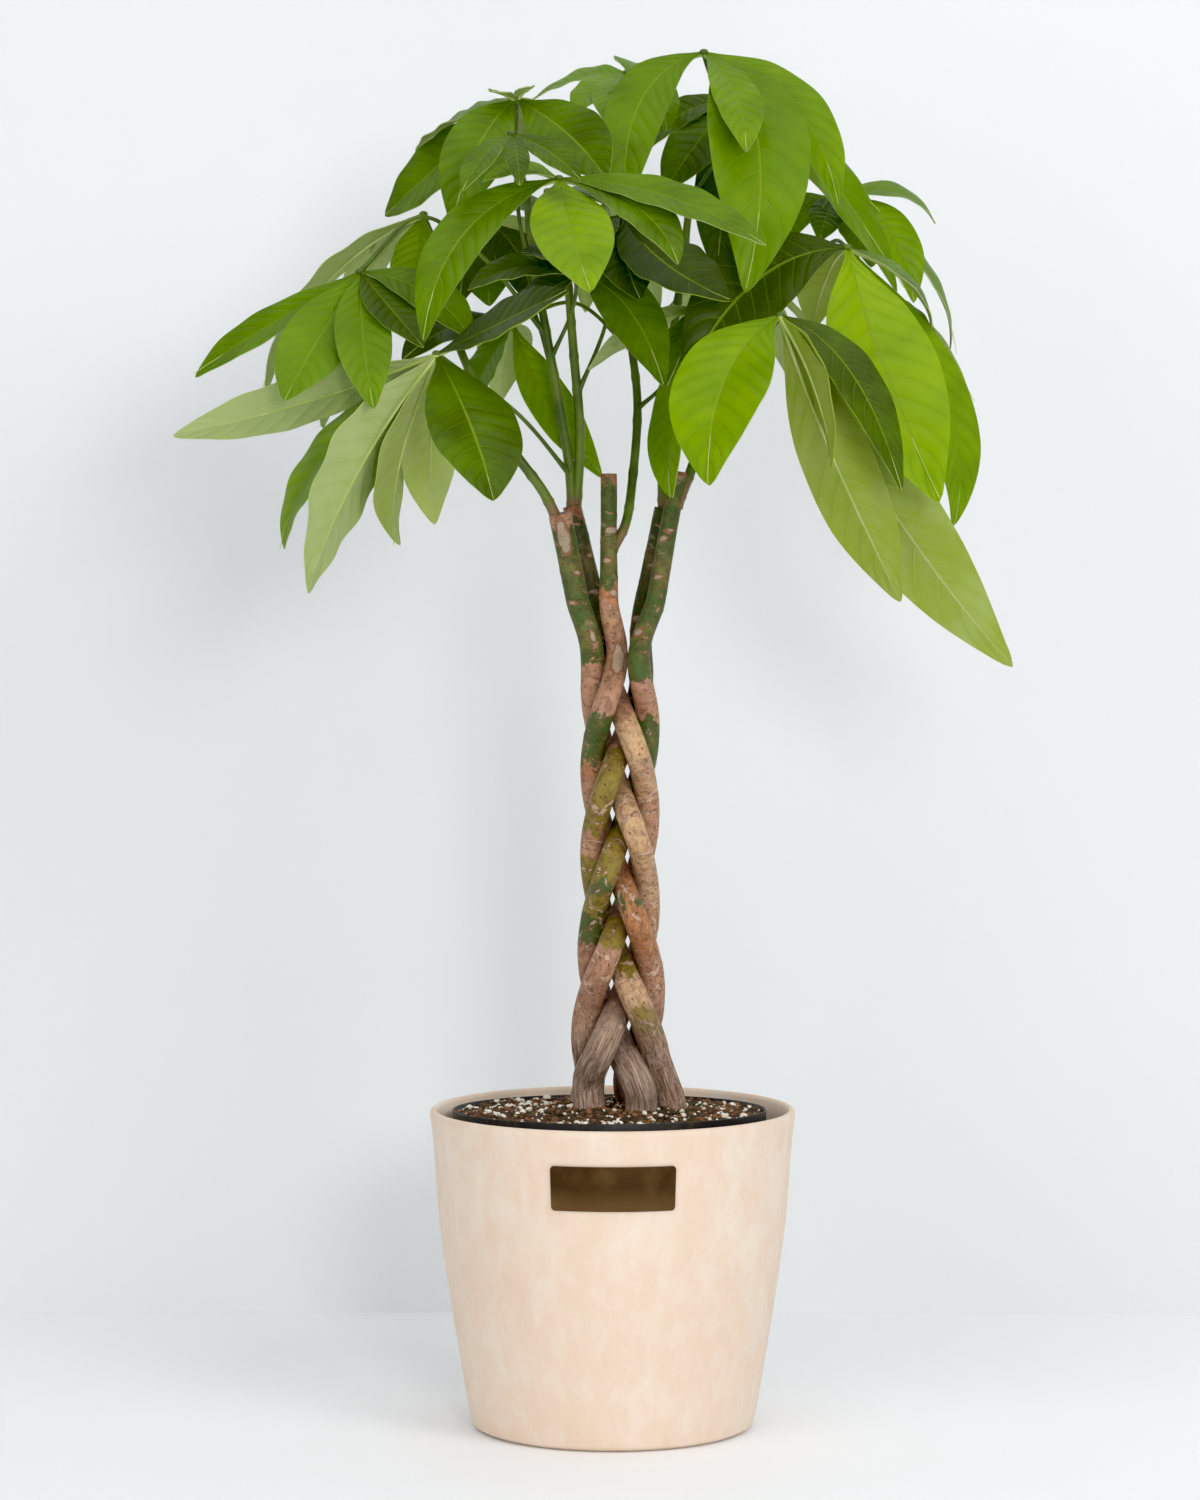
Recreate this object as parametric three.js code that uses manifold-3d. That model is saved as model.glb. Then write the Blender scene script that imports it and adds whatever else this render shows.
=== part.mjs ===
// Potted money tree: five braided trunks with green shoots and palmate leaves, standing in the
// soil of a black grow pot, which stands in a tapered cream cover pot with a bare bronze plate.
// Millimetres, +Z up, -Y is the front. The origin is the middle of the cover pot's foot.
import * as THREE from 'three';
import { mergeVertices } from 'three/addons/utils/BufferGeometryUtils.js';
import Module from 'manifold-3d';

const wasm = await Module();
wasm.setup();

// Clearance between pieces that touch
const GAP = 0.3;

// Cover pot
const COVER_RIM_RADIUS = 140;
const COVER_HEIGHT = 245;
const COVER_FOOT_RADIUS = 102;
const COVER_WALL = 6;
const COVER_FLOOR = 9;
const COVER_INSIDE_HEIGHTS = [200, 110, 15];
const POT_SEGMENTS = 32;

// Grow pot: its front edge stands a little higher than its back
const GROW_RIM_RADIUS = 120.5;
const GROW_BASE_RADIUS = 92;
const GROW_HEIGHT = 231;
const GROW_WALL = 1.8;
const GROW_LIP = 2.2;
const GROW_LIP_HEIGHT = 12;
const GROW_FOOT_CURVE = 3;
const GROW_TILT = THREE.MathUtils.degToRad(1.9);
const GROW_CENTRE_X = -2.5;
const SOIL_DEPTH_BELOW_RIM = 2.5;
const SOIL_MOUND = 5;
const SOIL_UNEVENNESS = 1.3;
const SOIL_CLEARANCE = 3.8;

// Plate on the cover pot
const PLATE_WIDTH = 96;
const PLATE_HEIGHT = 33.5;
const PLATE_CENTRE_Z = 202;
const PLATE_THICKNESS = 1.4;
const PLATE_CORNER = 3;
const PLATE_STATION_INSETS = [0, 0.6, 1.5, PLATE_CORNER, 12, 22, 32, 42];

// Braid: each strand runs out to an edge and back over the front once in a period. Half width and
// half depth are in strand radii. The lag holds a strand in front until it is near the middle.
const BRAID_PERIOD = 326;
const BRAID_CENTRE_X = 5.5;
const BRAID_STRAND_RADIUS = 9.4;
const BRAID_HALF_WIDTH = 2.25;
const BRAID_HALF_DEPTH = 2.34;
const BRAID_LAG = 12;
const BRAID_ROOTS = { from: 288, to: 240 };
const BRAID_CROWN = { from: 555, to: 635 };
const TRUNK_FOOT_Z = 205;
const TRUNK_SIDES = 8;
const TRUNK_STEPS = 28;
const TRUNK_STOUTER = 3.5;
const TRUNK_STOUT_BAND = { from: 215, to: 430 };
const TRUNK_SLIM_BAND = { from: 540, to: 690 };
const TRUNK_HOLE_RADIUS = 15.4;
const TRUNK_HOLE_TOP = 285;
const TRUNK_HOLE_SIDES = 12;

// Each trunk: the height where it passes behind the middle of the front, the place of its foot in
// the soil, its place where the braid ends, its cut top and the radius there.
const TRUNKS = [
  { front: 324, root: [-17, -16], crown: [-27, -9], top: [-40, -16, 699], radius: 9 },
  { front: 389, root: [-22, 22], crown: [-14, 15], top: [-31, 16, 705], radius: 7.5 },
  { front: 585, root: [16, 26], crown: [-3, -17], top: [-3, -13, 729], radius: 6.5 },
  { front: 454, root: [21, -24], crown: [33, -9], top: [50, -10, 731], radius: 7 },
  { front: 520, root: [45, 4], crown: [25, 17], top: [39, 16, 703], radius: 7.5 },
];

// Green shoots: the trunk that each grows from, its course and its radius at both ends
const SHOOTS = [
  { trunk: 0, radii: [4.4, 3], path: [[-39, -16, 688], [-52, -17, 715], [-75, -20, 747],
    [-100, -8, 790], [-120, 22, 835], [-130, 45, 880]] },
  { trunk: 1, radii: [4.2, 3.2], path: [[-29, 16, 690], [-25, 11, 760], [-30, 0, 825],
    [-35, -10, 890]] },
  { trunk: 1, radii: [4.4, 2.8], path: [[-30, 16, 692], [-33, 13, 735], [-42, 10, 790],
    [-51, 7, 840], [-62, 6, 905], [-66, 2, 950]] },
  { trunk: 2, radii: [4, 3], path: [[-2, -12, 670], [9, -8, 690], [15, 10, 725], [19, 28, 785],
    [14, 30, 830], [6, 32, 875]] },
  { trunk: 4, radii: [4.2, 3], path: [[39, 16, 690], [38, 17, 725], [38, 19, 770], [43, 26, 815],
    [51, 35, 870], [60, 41, 945]] },
  { trunk: 3, radii: [4.4, 3], path: [[48, -10, 705], [57, -8, 726], [68, -2, 755],
    [95, 12, 805], [124, 18, 855], [148, 12, 888]] },
];
const SHOOT_SIDES = 6;
const SHOOT_STEPS = 9;

// Leaves. A petiole runs from its shoot to the hub. Each row of leaflets is the tip's x, y and z,
// the width, the turn of the blade towards the front in degrees, how far the middle of the
// leaflet is lifted and how far it is drawn to +X.
const LEAVES = [
  { name: 'leaf_01', petiole: [[-51, 7, 838], [-72, 18, 930], [-73, -20, 1012]], leaflets: [
    [-119, -85, 915, 48, 35, 21, -9],
    [-151, 45, 977, 42, 25, 10, -13],
    [-175, 30, 928, 54, 58, -8, -12],
    [-5, -100, 946, 52, 40, 7, 10],
    [-84, 110, 973, 46, 0, 28, 0],
    [-92, -38, 1016, 24, 10, 2, 0],
    [-60, -30, 1021, 22, 10, 2, 0],
  ] },
  { name: 'leaf_02', petiole: [[-66, 3, 945], [-68, -40, 957], [-75, -90, 980]], leaflets: [
    [-24, -138, 943, 24, 30, 7, 4],
    [-68, -150, 938, 18, 0, 6, 2],
    [-110, -140, 935, 24, 10, 8, -4],
  ] },
  { name: 'leaf_03', petiole: [[-35, -9, 886], [-36, -50, 925], [-40, -90, 947]], leaflets: [
    [-17, -200, 860, 60, 5, 6, -5],
    [-138, -165, 825, 40, 40, 38, -38],
    [110, -165, 894, 36, 35, 22, 6],
    [47, -170, 880, 38, 25, 19, 27],
    [-97, -88, 945, 40, 20, 14, -1],
  ] },
  { name: 'leaf_04', petiole: [[-51, 7, 836], [-100, -15, 895], [-145, -40, 922], [-189, -60, 880]],
    leaflets: [
      [-174, -160, 776, 42, 0, 9, -6],
      [-313, -70, 804, 38, 35, -2, -7],
      [-239, -152, 782, 50, 30, -7, -7],
      [-222, -20, 766, 48, 20, -1, 8],
      [-104, -95, 828, 40, 35, 20, 13],
      [-139, -122, 822, 38, 15, 1, -2],
    ] },
  { name: 'leaf_05', petiole: [[-33, 13, 730], [-72, -50, 775], [-130, -110, 817]], leaflets: [
    [-325, -98, 758, 44, -50, -12, -2],
    [-222, -170, 642, 84, -58, 3, -21],
    [-86, -205, 710, 68, 8, -1, 9],
    [-34, -170, 861, 54, 40, 0, 3],
    [-135, -60, 693, 46, 20, -1, -6],
    [-163, -95, 676, 72, 10, -12, -22],
    [-249, -70, 674, 52, 40, -1, -44],
    [-195, -40, 745, 30, -40, 6, -4],
  ] },
  { name: 'leaf_06', petiole: [[60, 41, 940], [84, 12, 985], [69, 0, 1049]], leaflets: [
    [98, -100, 967, 36, 5, 8, 16],
    [10, -62, 924, 44, 40, 42, -39],
    [168, -60, 930, 42, 40, 34, 35],
    [222, 10, 872, 46, 45, 25, 8],
    [206, 42, 932, 46, 30, 0, 8],
    [98, -110, 865, 76, 5, 49, 48],
  ] },
  { name: 'leaf_07', petiole: [[147, 12, 886], [166, -10, 905], [175, -60, 898]], leaflets: [
    [236, -170, 711, 80, 18, 12, -16],
    [53, -82, 799, 66, 62, 48, -14],
    [153, 40, 842, 46, 0, 28, 0],
    [242, -45, 837, 44, 20, 13, 20],
    [262, 30, 690, 38, 125, -14, 66],
  ] },
  { name: 'leaf_08', petiole: [[39, 19, 772], [80, -64, 780], [122, -135, 844]], leaflets: [
    [160, -180, 732, 54, -60, 14, 8],
    [212, -130, 636, 58, -60, -10, -7],
    [297, -70, 587, 66, -68, -9, -20],
    [206, -215, 716, 38, 25, 43, 14],
    [67, -205, 721, 74, 15, 30, -26],
    [186, -60, 790, 40, 30, 13, 9],
  ] },
  { name: 'leaf_09', petiole: [[124, 18, 856], [135, 40, 915], [174, 60, 943]], leaflets: [
    [252, 85, 926, 36, 25, 28, 13],
    [232, 40, 862, 40, 35, 30, 22],
    [271, 115, 826, 36, 40, 18, 36],
    [199, 30, 889, 38, 25, 9, 8],
    [135, 30, 908, 34, 25, 19, -15],
    [158, 10, 908, 28, 20, 8, -3],
    [144, 95, 982, 42, 10, 11, -1],
  ] },
  { name: 'leaf_10', petiole: [[8, 31, 862], [4, 50, 955], [11, 45, 1038]], leaflets: [
    [-64, 70, 1020, 34, 25, 14, 6],
    [-28, -15, 1002, 32, 10, 7, -6],
    [-5, -35, 995, 30, 0, 9, -5],
    [21, -12, 973, 28, 0, 11, 5],
    [41, -5, 990, 32, 10, 17, 12],
    [29, 115, 1030, 40, 10, 28, 0],
  ] },
  { name: 'leaf_11', petiole: [[59, 40, 930], [80, 60, 975], [93, 65, 1019]], leaflets: [
    [24, 60, 979, 38, 35, 19, -9],
    [39, 20, 945, 43, 35, 9, 1],
    [147, 110, 984, 44, 10, 20, 13],
    [116, 130, 955, 46, 0, 28, 0],
    [80, 34, 884, 46, 20, 5, 0],
  ] },
  { name: 'leaf_12', petiole: [[-27, 5, 790], [-5, 0, 845], [7, -25, 925]], leaflets: [
    [85, -122, 857, 60, 20, -10, -16],
    [20, -90, 859, 44, 10, 1, -10],
    [-39, -92, 885, 36, 15, 4, -2],
    [-52, 50, 941, 44, 10, 28, 0],
  ] },
  { name: 'leaf_13', petiole: [[-47, 8, 818], [-32, -5, 850], [-26, -45, 878]], leaflets: [
    [37, -110, 795, 42, 40, 31, 11],
    [-81, -40, 837, 44, 35, 10, -2],
    [-68, -55, 895, 38, 20, 9, -3],
    [-109, -50, 867, 40, 30, 22, -5],
  ] },
  { name: 'leaf_14', petiole: [[15, 30, 825], [-30, 45, 862], [-77, 45, 847]], leaflets: [
    [-7, 30, 729, 42, 45, -4, -16],
    [-116, 40, 772, 46, 25, 2, -5],
    [-88, 85, 788, 44, 0, 28, 0],
    [-161, 10, 817, 56, 20, 22, -4],
  ] },
  { name: 'leaf_15', petiole: [[19, 28, 780], [40, 5, 800], [64, -25, 856]], leaflets: [
    [-20, -65, 808, 44, -30, 9, -3],
    [38, -75, 796, 36, -20, 7, -4],
    [42, -85, 712, 44, -35, -14, -18],
    [106, 10, 821, 46, 30, 28, 0],
  ] },
  { name: 'leaf_16', petiole: [[-128, 41, 874], [-135, 60, 905], [-146, 60, 931]], leaflets: [
    [-272, 30, 790, 46, -25, 34, -24],
    [-153, 50, 851, 42, 10, 6, -3],
    [-187, 90, 896, 42, 20, 10, -4],
    [-210, 110, 844, 44, 0, 16, -14],
  ] },
  { name: 'leaf_17', petiole: [[-43, 10, 795], [-62, 35, 860], [-95, 60, 925]], leaflets: [
    [-116, 6, 861, 42, 20, 9, -11],
    [-95, 52, 860, 46, 10, 9, -4],
    [-62, 20, 858, 44, 15, 9, 15],
    [-128, 52, 912, 36, 20, 21, 0],
    [-41, 60, 922, 40, 20, 28, 5],
    [-85, 135, 899, 46, 0, 28, 0],
  ] },
];

// Leaves of the back: the hub's fan of leaflets opens towards a bearing in degrees from +X
const BACK_LEAVES = [
  { name: 'leaf_18', petiole: [[13, 30, 836], [2, 85, 905], [-5, 150, 945]], bearing: 100,
    length: 130, count: 5 },
  { name: 'leaf_19', petiole: [[50, 34, 865], [72, 95, 900], [95, 150, 890]], bearing: 95,
    length: 135, count: 5 },
  { name: 'leaf_20', petiole: [[146, 13, 885], [176, 62, 890], [205, 112, 872]], bearing: 40,
    length: 130, count: 4 },
];
const FAN_SPREAD = 175;
const FAN_REACH = 0.74;
const FAN_DROP = 0.62;
const FAN_WIDTH = 0.32;
const FAN_RISE = 0.28;

// Outline of a leaflet: width as a share of its greatest, along its length
const OUTLINE = [
  { at: 0, width: 0.05 },
  { at: 0.17, width: 0.3 },
  { at: 0.5, width: 1 },
  { at: 0.76, width: 0.84 },
  { at: 0.92, width: 0.34 },
  { at: 1, width: 0.04 },
];
const BLADE_THICKNESS = 0.8;
const BLADE_START = 1.6;
const BLADE_FOLD = 0.16;
const PETIOLE_RADIUS = 1.9;
const PETIOLE_FLARE = 0.5;
const PETIOLE_SIDES = 4;
const PETIOLE_STEPS = 5;
const HUB_RADIUS = 3.6;

const UP = new THREE.Vector3(0, 0, 1);
const FRONT = new THREE.Vector3(0, -1, 0);

function vector(values) {
  return new THREE.Vector3(values[0], values[1], values[2]);
}

function finish(color, roughness, metalness) {
  return new THREE.MeshStandardMaterial({ color, roughness, metalness });
}

function solidOf(geometry) {
  const bare = geometry.clone();
  bare.deleteAttribute('normal');
  bare.deleteAttribute('uv');
  const merged = mergeVertices(bare, 1e-3);
  return new wasm.Manifold(new wasm.Mesh({
    numProp: 3,
    vertProperties: new Float32Array(merged.attributes.position.array),
    triVerts: new Uint32Array(merged.index.array),
  }));
}

// The largest body of a solid, without sealed hollows or loose scraps
function mainBody(solid) {
  const bodies = solid.decompose();
  return bodies.reduce((best, body) => (body.volume() > best.volume() ? body : best));
}

function meshOf(name, solid, material) {
  const data = mainBody(solid).getMesh();
  const geometry = new THREE.BufferGeometry();
  const positions = new THREE.BufferAttribute(new Float32Array(data.vertProperties), 3);
  geometry.setAttribute('position', positions);
  geometry.setIndex(new THREE.BufferAttribute(new Uint32Array(data.triVerts), 1));
  geometry.computeVertexNormals();
  const mesh = new THREE.Mesh(geometry, material);
  mesh.name = name;
  return mesh;
}

// A closed rod of varying radius along a curve
function rod(curve, radiusAt, sides, steps) {
  const geometry = new THREE.CylinderGeometry(1, 1, 1, sides, steps);
  const frames = curve.computeFrenetFrames(steps, false);
  const position = geometry.attributes.position;
  for (let i = 0; i < position.count; i += 1) {
    const along = position.getY(i) + 0.5;
    const step = Math.round(along * steps);
    const radius = radiusAt(along);
    const point = curve.getPointAt(along);
    point.addScaledVector(frames.normals[step], position.getX(i) * radius);
    point.addScaledVector(frames.binormals[step], -position.getZ(i) * radius);
    position.setXYZ(i, point.x, point.y, point.z);
  }
  return geometry;
}

// Cover pot: outer profile as radius and height, from the foot to the rim
const COVER_PROFILE = [
  [COVER_FOOT_RADIUS, 0],
  [107.5, 3],
  [110.5, 14],
  [117.5, 55],
  [126.3, 110],
  [132.6, 157],
  [136, 200],
  [138.2, 228],
  [COVER_RIM_RADIUS, COVER_HEIGHT - 4],
  [COVER_RIM_RADIUS - 1, COVER_HEIGHT - 1],
  [COVER_RIM_RADIUS - 3, COVER_HEIGHT],
];

function coverRadius(z) {
  const above = COVER_PROFILE.findIndex((point) => point[1] >= z);
  const [lowRadius, lowZ] = COVER_PROFILE[above - 1];
  const [highRadius, highZ] = COVER_PROFILE[above];
  return THREE.MathUtils.mapLinear(z, lowZ, highZ, lowRadius, highRadius);
}

function latheUp(points) {
  const profile = points.map(([radius, z]) => new THREE.Vector2(radius, z));
  const geometry = new THREE.LatheGeometry(profile, POT_SEGMENTS);
  geometry.rotateX(Math.PI / 2);
  return geometry;
}

function coverPot() {
  const inside = COVER_INSIDE_HEIGHTS.map((z) => [coverRadius(z) - COVER_WALL, z]);
  const floorRadius = inside[inside.length - 1][0] - 5;
  const points = [
    [0, 0],
    ...COVER_PROFILE,
    [COVER_RIM_RADIUS - COVER_WALL + 1, COVER_HEIGHT - 0.6],
    [COVER_RIM_RADIUS - COVER_WALL, COVER_HEIGHT - 3],
    ...inside,
    [floorRadius, COVER_FLOOR],
    [0, COVER_FLOOR],
  ];
  return solidOf(latheUp(points));
}

function plate() {
  const half = PLATE_WIDTH / 2;
  const left = PLATE_STATION_INSETS.map((inset) => inset - half);
  const right = left.map((place) => -place).reverse();
  const places = [...left, 0, ...right];
  const geometry = new THREE.BoxGeometry(1, 1, 1, places.length - 1, 3, 1);
  const position = geometry.attributes.position;
  for (let i = 0; i < position.count; i += 1) {
    const column = Math.round((position.getX(i) + 0.5) * (places.length - 1));
    const inset = Math.max(0, PLATE_CORNER - (half - Math.abs(places[column])));
    const cut = PLATE_CORNER - Math.sqrt(PLATE_CORNER ** 2 - inset ** 2);
    const z = PLATE_CENTRE_Z + position.getY(i) * (PLATE_HEIGHT - 2 * cut);
    const turn = places[column] / COVER_RIM_RADIUS;
    const radius = coverRadius(z) + GAP + (position.getZ(i) + 0.5) * PLATE_THICKNESS;
    position.setXYZ(i, radius * Math.sin(turn), -radius * Math.cos(turn), z);
  }
  return solidOf(geometry);
}

// The grow pot and its soil lean together about the back of the pot's base
function leanWithGrowPot(geometry) {
  geometry.rotateX(-GROW_TILT);
  const lift = COVER_FLOOR + GAP + GROW_BASE_RADIUS * Math.sin(GROW_TILT);
  geometry.translate(GROW_CENTRE_X, 0, lift);
  return geometry;
}

function growPot() {
  const shoulder = GROW_HEIGHT - GROW_LIP_HEIGHT;
  const wallRadius = GROW_RIM_RADIUS - GROW_LIP - 1;
  const footRadius = GROW_BASE_RADIUS + GROW_FOOT_CURVE;
  const points = [
    [0, 0],
    [GROW_BASE_RADIUS, 0],
    [footRadius, 2],
    [wallRadius, shoulder - 2],
    [GROW_RIM_RADIUS, shoulder],
    [GROW_RIM_RADIUS, GROW_HEIGHT],
    [GROW_RIM_RADIUS - GROW_WALL, GROW_HEIGHT],
    [wallRadius - GROW_WALL, shoulder - 3],
    [footRadius - GROW_WALL, 5],
    [GROW_BASE_RADIUS - GROW_WALL, GROW_WALL],
    [0, GROW_WALL],
  ];
  return solidOf(leanWithGrowPot(latheUp(points)));
}

// Slow and quick waves that make the soil's surface uneven
function unevenHeight(x, y) {
  const waves = Math.sin(x / 17 + 1) * Math.cos(y / 13) + 0.6 * Math.sin(x / 7 - y / 9);
  return SOIL_UNEVENNESS * waves;
}

function soil(trunkHoles) {
  const top = GROW_HEIGHT - SOIL_DEPTH_BELOW_RIM;
  const edge = GROW_RIM_RADIUS - GROW_WALL - GAP - SOIL_CLEARANCE;
  const points = [
    [0, GROW_WALL + GAP],
    [GROW_BASE_RADIUS - GROW_WALL - 1, GROW_WALL + GAP],
    [GROW_BASE_RADIUS + GROW_FOOT_CURVE - GROW_WALL - 2 * GAP, 5.5],
    [edge, top - 8],
    [edge, top - 3],
    [edge - 8, top - 1],
    [edge * 0.72, top],
    [edge * 0.5, top + SOIL_MOUND * 0.6],
    [edge * 0.25, top + SOIL_MOUND],
    [0, top + SOIL_MOUND],
  ];
  const geometry = latheUp(points);
  const position = geometry.attributes.position;
  for (let i = 0; i < position.count; i += 1) {
    const radius = Math.hypot(position.getX(i), position.getY(i));
    if (position.getZ(i) > top - 2 && radius < edge - 7) {
      const height = unevenHeight(position.getX(i), position.getY(i));
      position.setZ(i, position.getZ(i) + height);
    }
  }
  return solidOf(leanWithGrowPot(geometry)).subtract(trunkHoles);
}

// Radius of a trunk: stout at the soil, even through the braid, slimmer towards its cut top
function trunkRadius(z, trunk) {
  const risen = THREE.MathUtils.smoothstep(z, TRUNK_STOUT_BAND.from, TRUNK_STOUT_BAND.to);
  const slimmed = THREE.MathUtils.smoothstep(z, TRUNK_SLIM_BAND.from, TRUNK_SLIM_BAND.to);
  const slimmer = (BRAID_STRAND_RADIUS - trunk.radius) * slimmed;
  return BRAID_STRAND_RADIUS + TRUNK_STOUTER * (1 - risen) - slimmer;
}

class TrunkLine extends THREE.Curve {
  constructor(trunk) {
    super();
    this.trunk = trunk;
  }

  getPoint(t) {
    const { trunk } = this;
    const z = THREE.MathUtils.lerp(TRUNK_FOOT_Z, trunk.top[2], t);
    const turn = 1.5 * Math.PI + (2 * Math.PI * (z - trunk.front)) / BRAID_PERIOD;
    const strand = trunkRadius(z, { radius: BRAID_STRAND_RADIUS });
    const x = BRAID_CENTRE_X + BRAID_HALF_WIDTH * strand * Math.cos(turn);
    const y = BRAID_LAG * Math.sin(4 * turn) - BRAID_HALF_DEPTH * strand * Math.sin(2 * turn);
    const rooted = 1 - THREE.MathUtils.smoothstep(z, BRAID_ROOTS.to, BRAID_ROOTS.from);
    const crowned = THREE.MathUtils.smoothstep(z, BRAID_CROWN.from, BRAID_CROWN.to);
    const rise = (z - BRAID_CROWN.to) / (trunk.top[2] - BRAID_CROWN.to);
    const crownX = THREE.MathUtils.lerp(trunk.crown[0], trunk.top[0], rise);
    const crownY = THREE.MathUtils.lerp(trunk.crown[1], trunk.top[1], rise);
    const point = new THREE.Vector3(x, y, z);
    point.lerp(new THREE.Vector3(trunk.root[0], trunk.root[1], z), rooted);
    return point.lerp(new THREE.Vector3(crownX, crownY, z), crowned);
  }
}

function trunkSolid(trunk) {
  const line = new TrunkLine(trunk);
  const radiusAt = (along) => trunkRadius(line.getPointAt(along).z, trunk);
  return solidOf(rod(line, radiusAt, TRUNK_SIDES, TRUNK_STEPS));
}

function trunkHole(trunk) {
  const depth = TRUNK_HOLE_TOP - TRUNK_FOOT_Z;
  const radius = TRUNK_HOLE_RADIUS;
  const hole = new THREE.CylinderGeometry(radius, radius, depth, TRUNK_HOLE_SIDES);
  hole.rotateX(Math.PI / 2);
  hole.translate(trunk.root[0], trunk.root[1], TRUNK_FOOT_Z - GAP + depth / 2);
  return solidOf(hole);
}

function shootSolid(shoot, extra) {
  const curve = new THREE.CatmullRomCurve3(shoot.path.map(vector));
  const [low, high] = shoot.radii;
  const radiusAt = (along) => THREE.MathUtils.lerp(low, high, along) + extra;
  return solidOf(rod(curve, radiusAt, SHOOT_SIDES, SHOOT_STEPS));
}

// Leaflets spread evenly over a fan, the outer ones shorter
function fanLeaflets(leaf) {
  const hub = leaf.petiole[leaf.petiole.length - 1];
  const rows = [];
  for (let i = 0; i < leaf.count; i += 1) {
    const share = i / (leaf.count - 1) - 0.5;
    const bearing = THREE.MathUtils.degToRad(leaf.bearing + share * FAN_SPREAD);
    const length = leaf.length * (1 - 0.5 * Math.abs(share) - 0.06 * (i % 2));
    const reach = length * FAN_REACH;
    const tip = [
      hub[0] + reach * Math.cos(bearing),
      hub[1] + reach * Math.sin(bearing),
      hub[2] - length * (FAN_DROP + 0.12 * (i % 2)),
    ];
    rows.push([...tip, length * FAN_WIDTH, 0, length * FAN_RISE, 0]);
  }
  return rows;
}

function outlineHalf(station, width) {
  return (OUTLINE[station].width * width) / 2;
}

// Centre line of a leaflet from the hub to its tip
function leafletCurve(hub, [x, y, z, , , rise, bow]) {
  const tip = new THREE.Vector3(x, y, z);
  const middle = hub.clone().lerp(tip, 0.5);
  middle.z += rise;
  middle.x += bow;
  return new THREE.QuadraticBezierCurve3(hub, middle, tip);
}

// The blade's sideways direction: level across its heading, then rolled towards the front
function bladeSide(tangent, heading, roll) {
  const level = heading.clone().cross(UP).normalize();
  const turned = level.dot(FRONT) < 0 ? -1 : 1;
  level.multiplyScalar(turned);
  const face = level.clone().cross(tangent).normalize().multiplyScalar(turned);
  const normal = face.multiplyScalar(Math.cos(roll)).addScaledVector(level, Math.sin(roll));
  return { normal: normal.normalize(), side: tangent.clone().cross(normal).normalize() };
}

// One thin blade, folded along its midrib, with the same triangles on both faces
function blade(hub, row) {
  const curve = leafletCurve(hub, row);
  const [x, y, , width, roll] = row;
  const heading = new THREE.Vector3(x - hub.x, y - hub.y, 0).normalize();
  const stations = OUTLINE.length;
  const columns = [-1, 0, 1];
  const vertices = [];
  for (const half of [0.5, -0.5]) {
    for (let i = 0; i < stations; i += 1) {
      const at = Math.max(OUTLINE[i].at, BLADE_START / curve.getLength());
      const frame = bladeSide(curve.getTangent(at), heading, THREE.MathUtils.degToRad(roll));
      const reach = outlineHalf(i, width);
      for (const column of columns) {
        const point = curve.getPoint(at);
        const lift = half * BLADE_THICKNESS + BLADE_FOLD * reach * Math.abs(column);
        point.addScaledVector(frame.side, column * reach);
        point.addScaledVector(frame.normal, lift);
        vertices.push(point.x, point.y, point.z);
      }
    }
  }
  const under = stations * columns.length;
  const faces = [];
  const quad = (a, b, c, d) => faces.push(a, b, c, a, c, d);
  for (let i = 0; i < stations - 1; i += 1) {
    const row0 = i * columns.length;
    const row1 = row0 + columns.length;
    for (const column of [0, 1]) {
      const [a, b, c, d] = [row0 + column, row0 + column + 1, row1 + column + 1, row1 + column];
      quad(a, b, c, d);
      faces.push(under + c, under + b, under + a, under + d, under + c, under + a);
    }
    quad(row0, row1, under + row1, under + row0);
    quad(row1 + 2, row0 + 2, under + row0 + 2, under + row1 + 2);
  }
  const end = (stations - 1) * columns.length;
  for (const column of [0, 1]) {
    quad(column + 1, column, under + column, under + column + 1);
    quad(end + column, end + column + 1, under + end + column + 1, under + end + column);
  }
  const geometry = new THREE.BufferGeometry();
  geometry.setAttribute('position', new THREE.Float32BufferAttribute(vertices, 3));
  geometry.setIndex(faces);
  return solidOf(geometry);
}

function petioleSolid(path) {
  const curve = new THREE.CatmullRomCurve3(path.map(vector));
  const radiusAt = (along) => PETIOLE_RADIUS + PETIOLE_FLARE * (1 - along) ** 4;
  return solidOf(rod(curve, radiusAt, PETIOLE_SIDES, PETIOLE_STEPS));
}

function leafSolid(leaf, stems) {
  const hub = vector(leaf.petiole[leaf.petiole.length - 1]);
  const knob = new THREE.OctahedronGeometry(HUB_RADIUS);
  knob.translate(hub.x, hub.y, hub.z);
  const parts = leaf.leaflets.map((row) => blade(hub, row));
  parts.push(solidOf(knob));
  parts.push(petioleSolid(leaf.petiole));
  return wasm.Manifold.union(parts).subtract(stems);
}

const CREAM = finish(0xe3d3c2, 0.65, 0);
const BRONZE = finish(0x5b4a35, 0.4, 0.9);
const BLACK_PLASTIC = finish(0x15181a, 0.5, 0);
const SOIL = finish(0x3f3428, 0.95, 0);
const BARK = finish(0x9c8455, 0.8, 0);
const LEAF_GREEN = finish(0x5c8f35, 0.45, 0);

const group = new THREE.Group();
group.add(meshOf('outer_pot', coverPot(), CREAM));
group.add(meshOf('name_plate', plate(), BRONZE));
group.add(meshOf('grow_pot', growPot(), BLACK_PLASTIC));

const holes = wasm.Manifold.union(TRUNKS.map(trunkHole));
group.add(meshOf('soil', soil(holes), SOIL));

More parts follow.
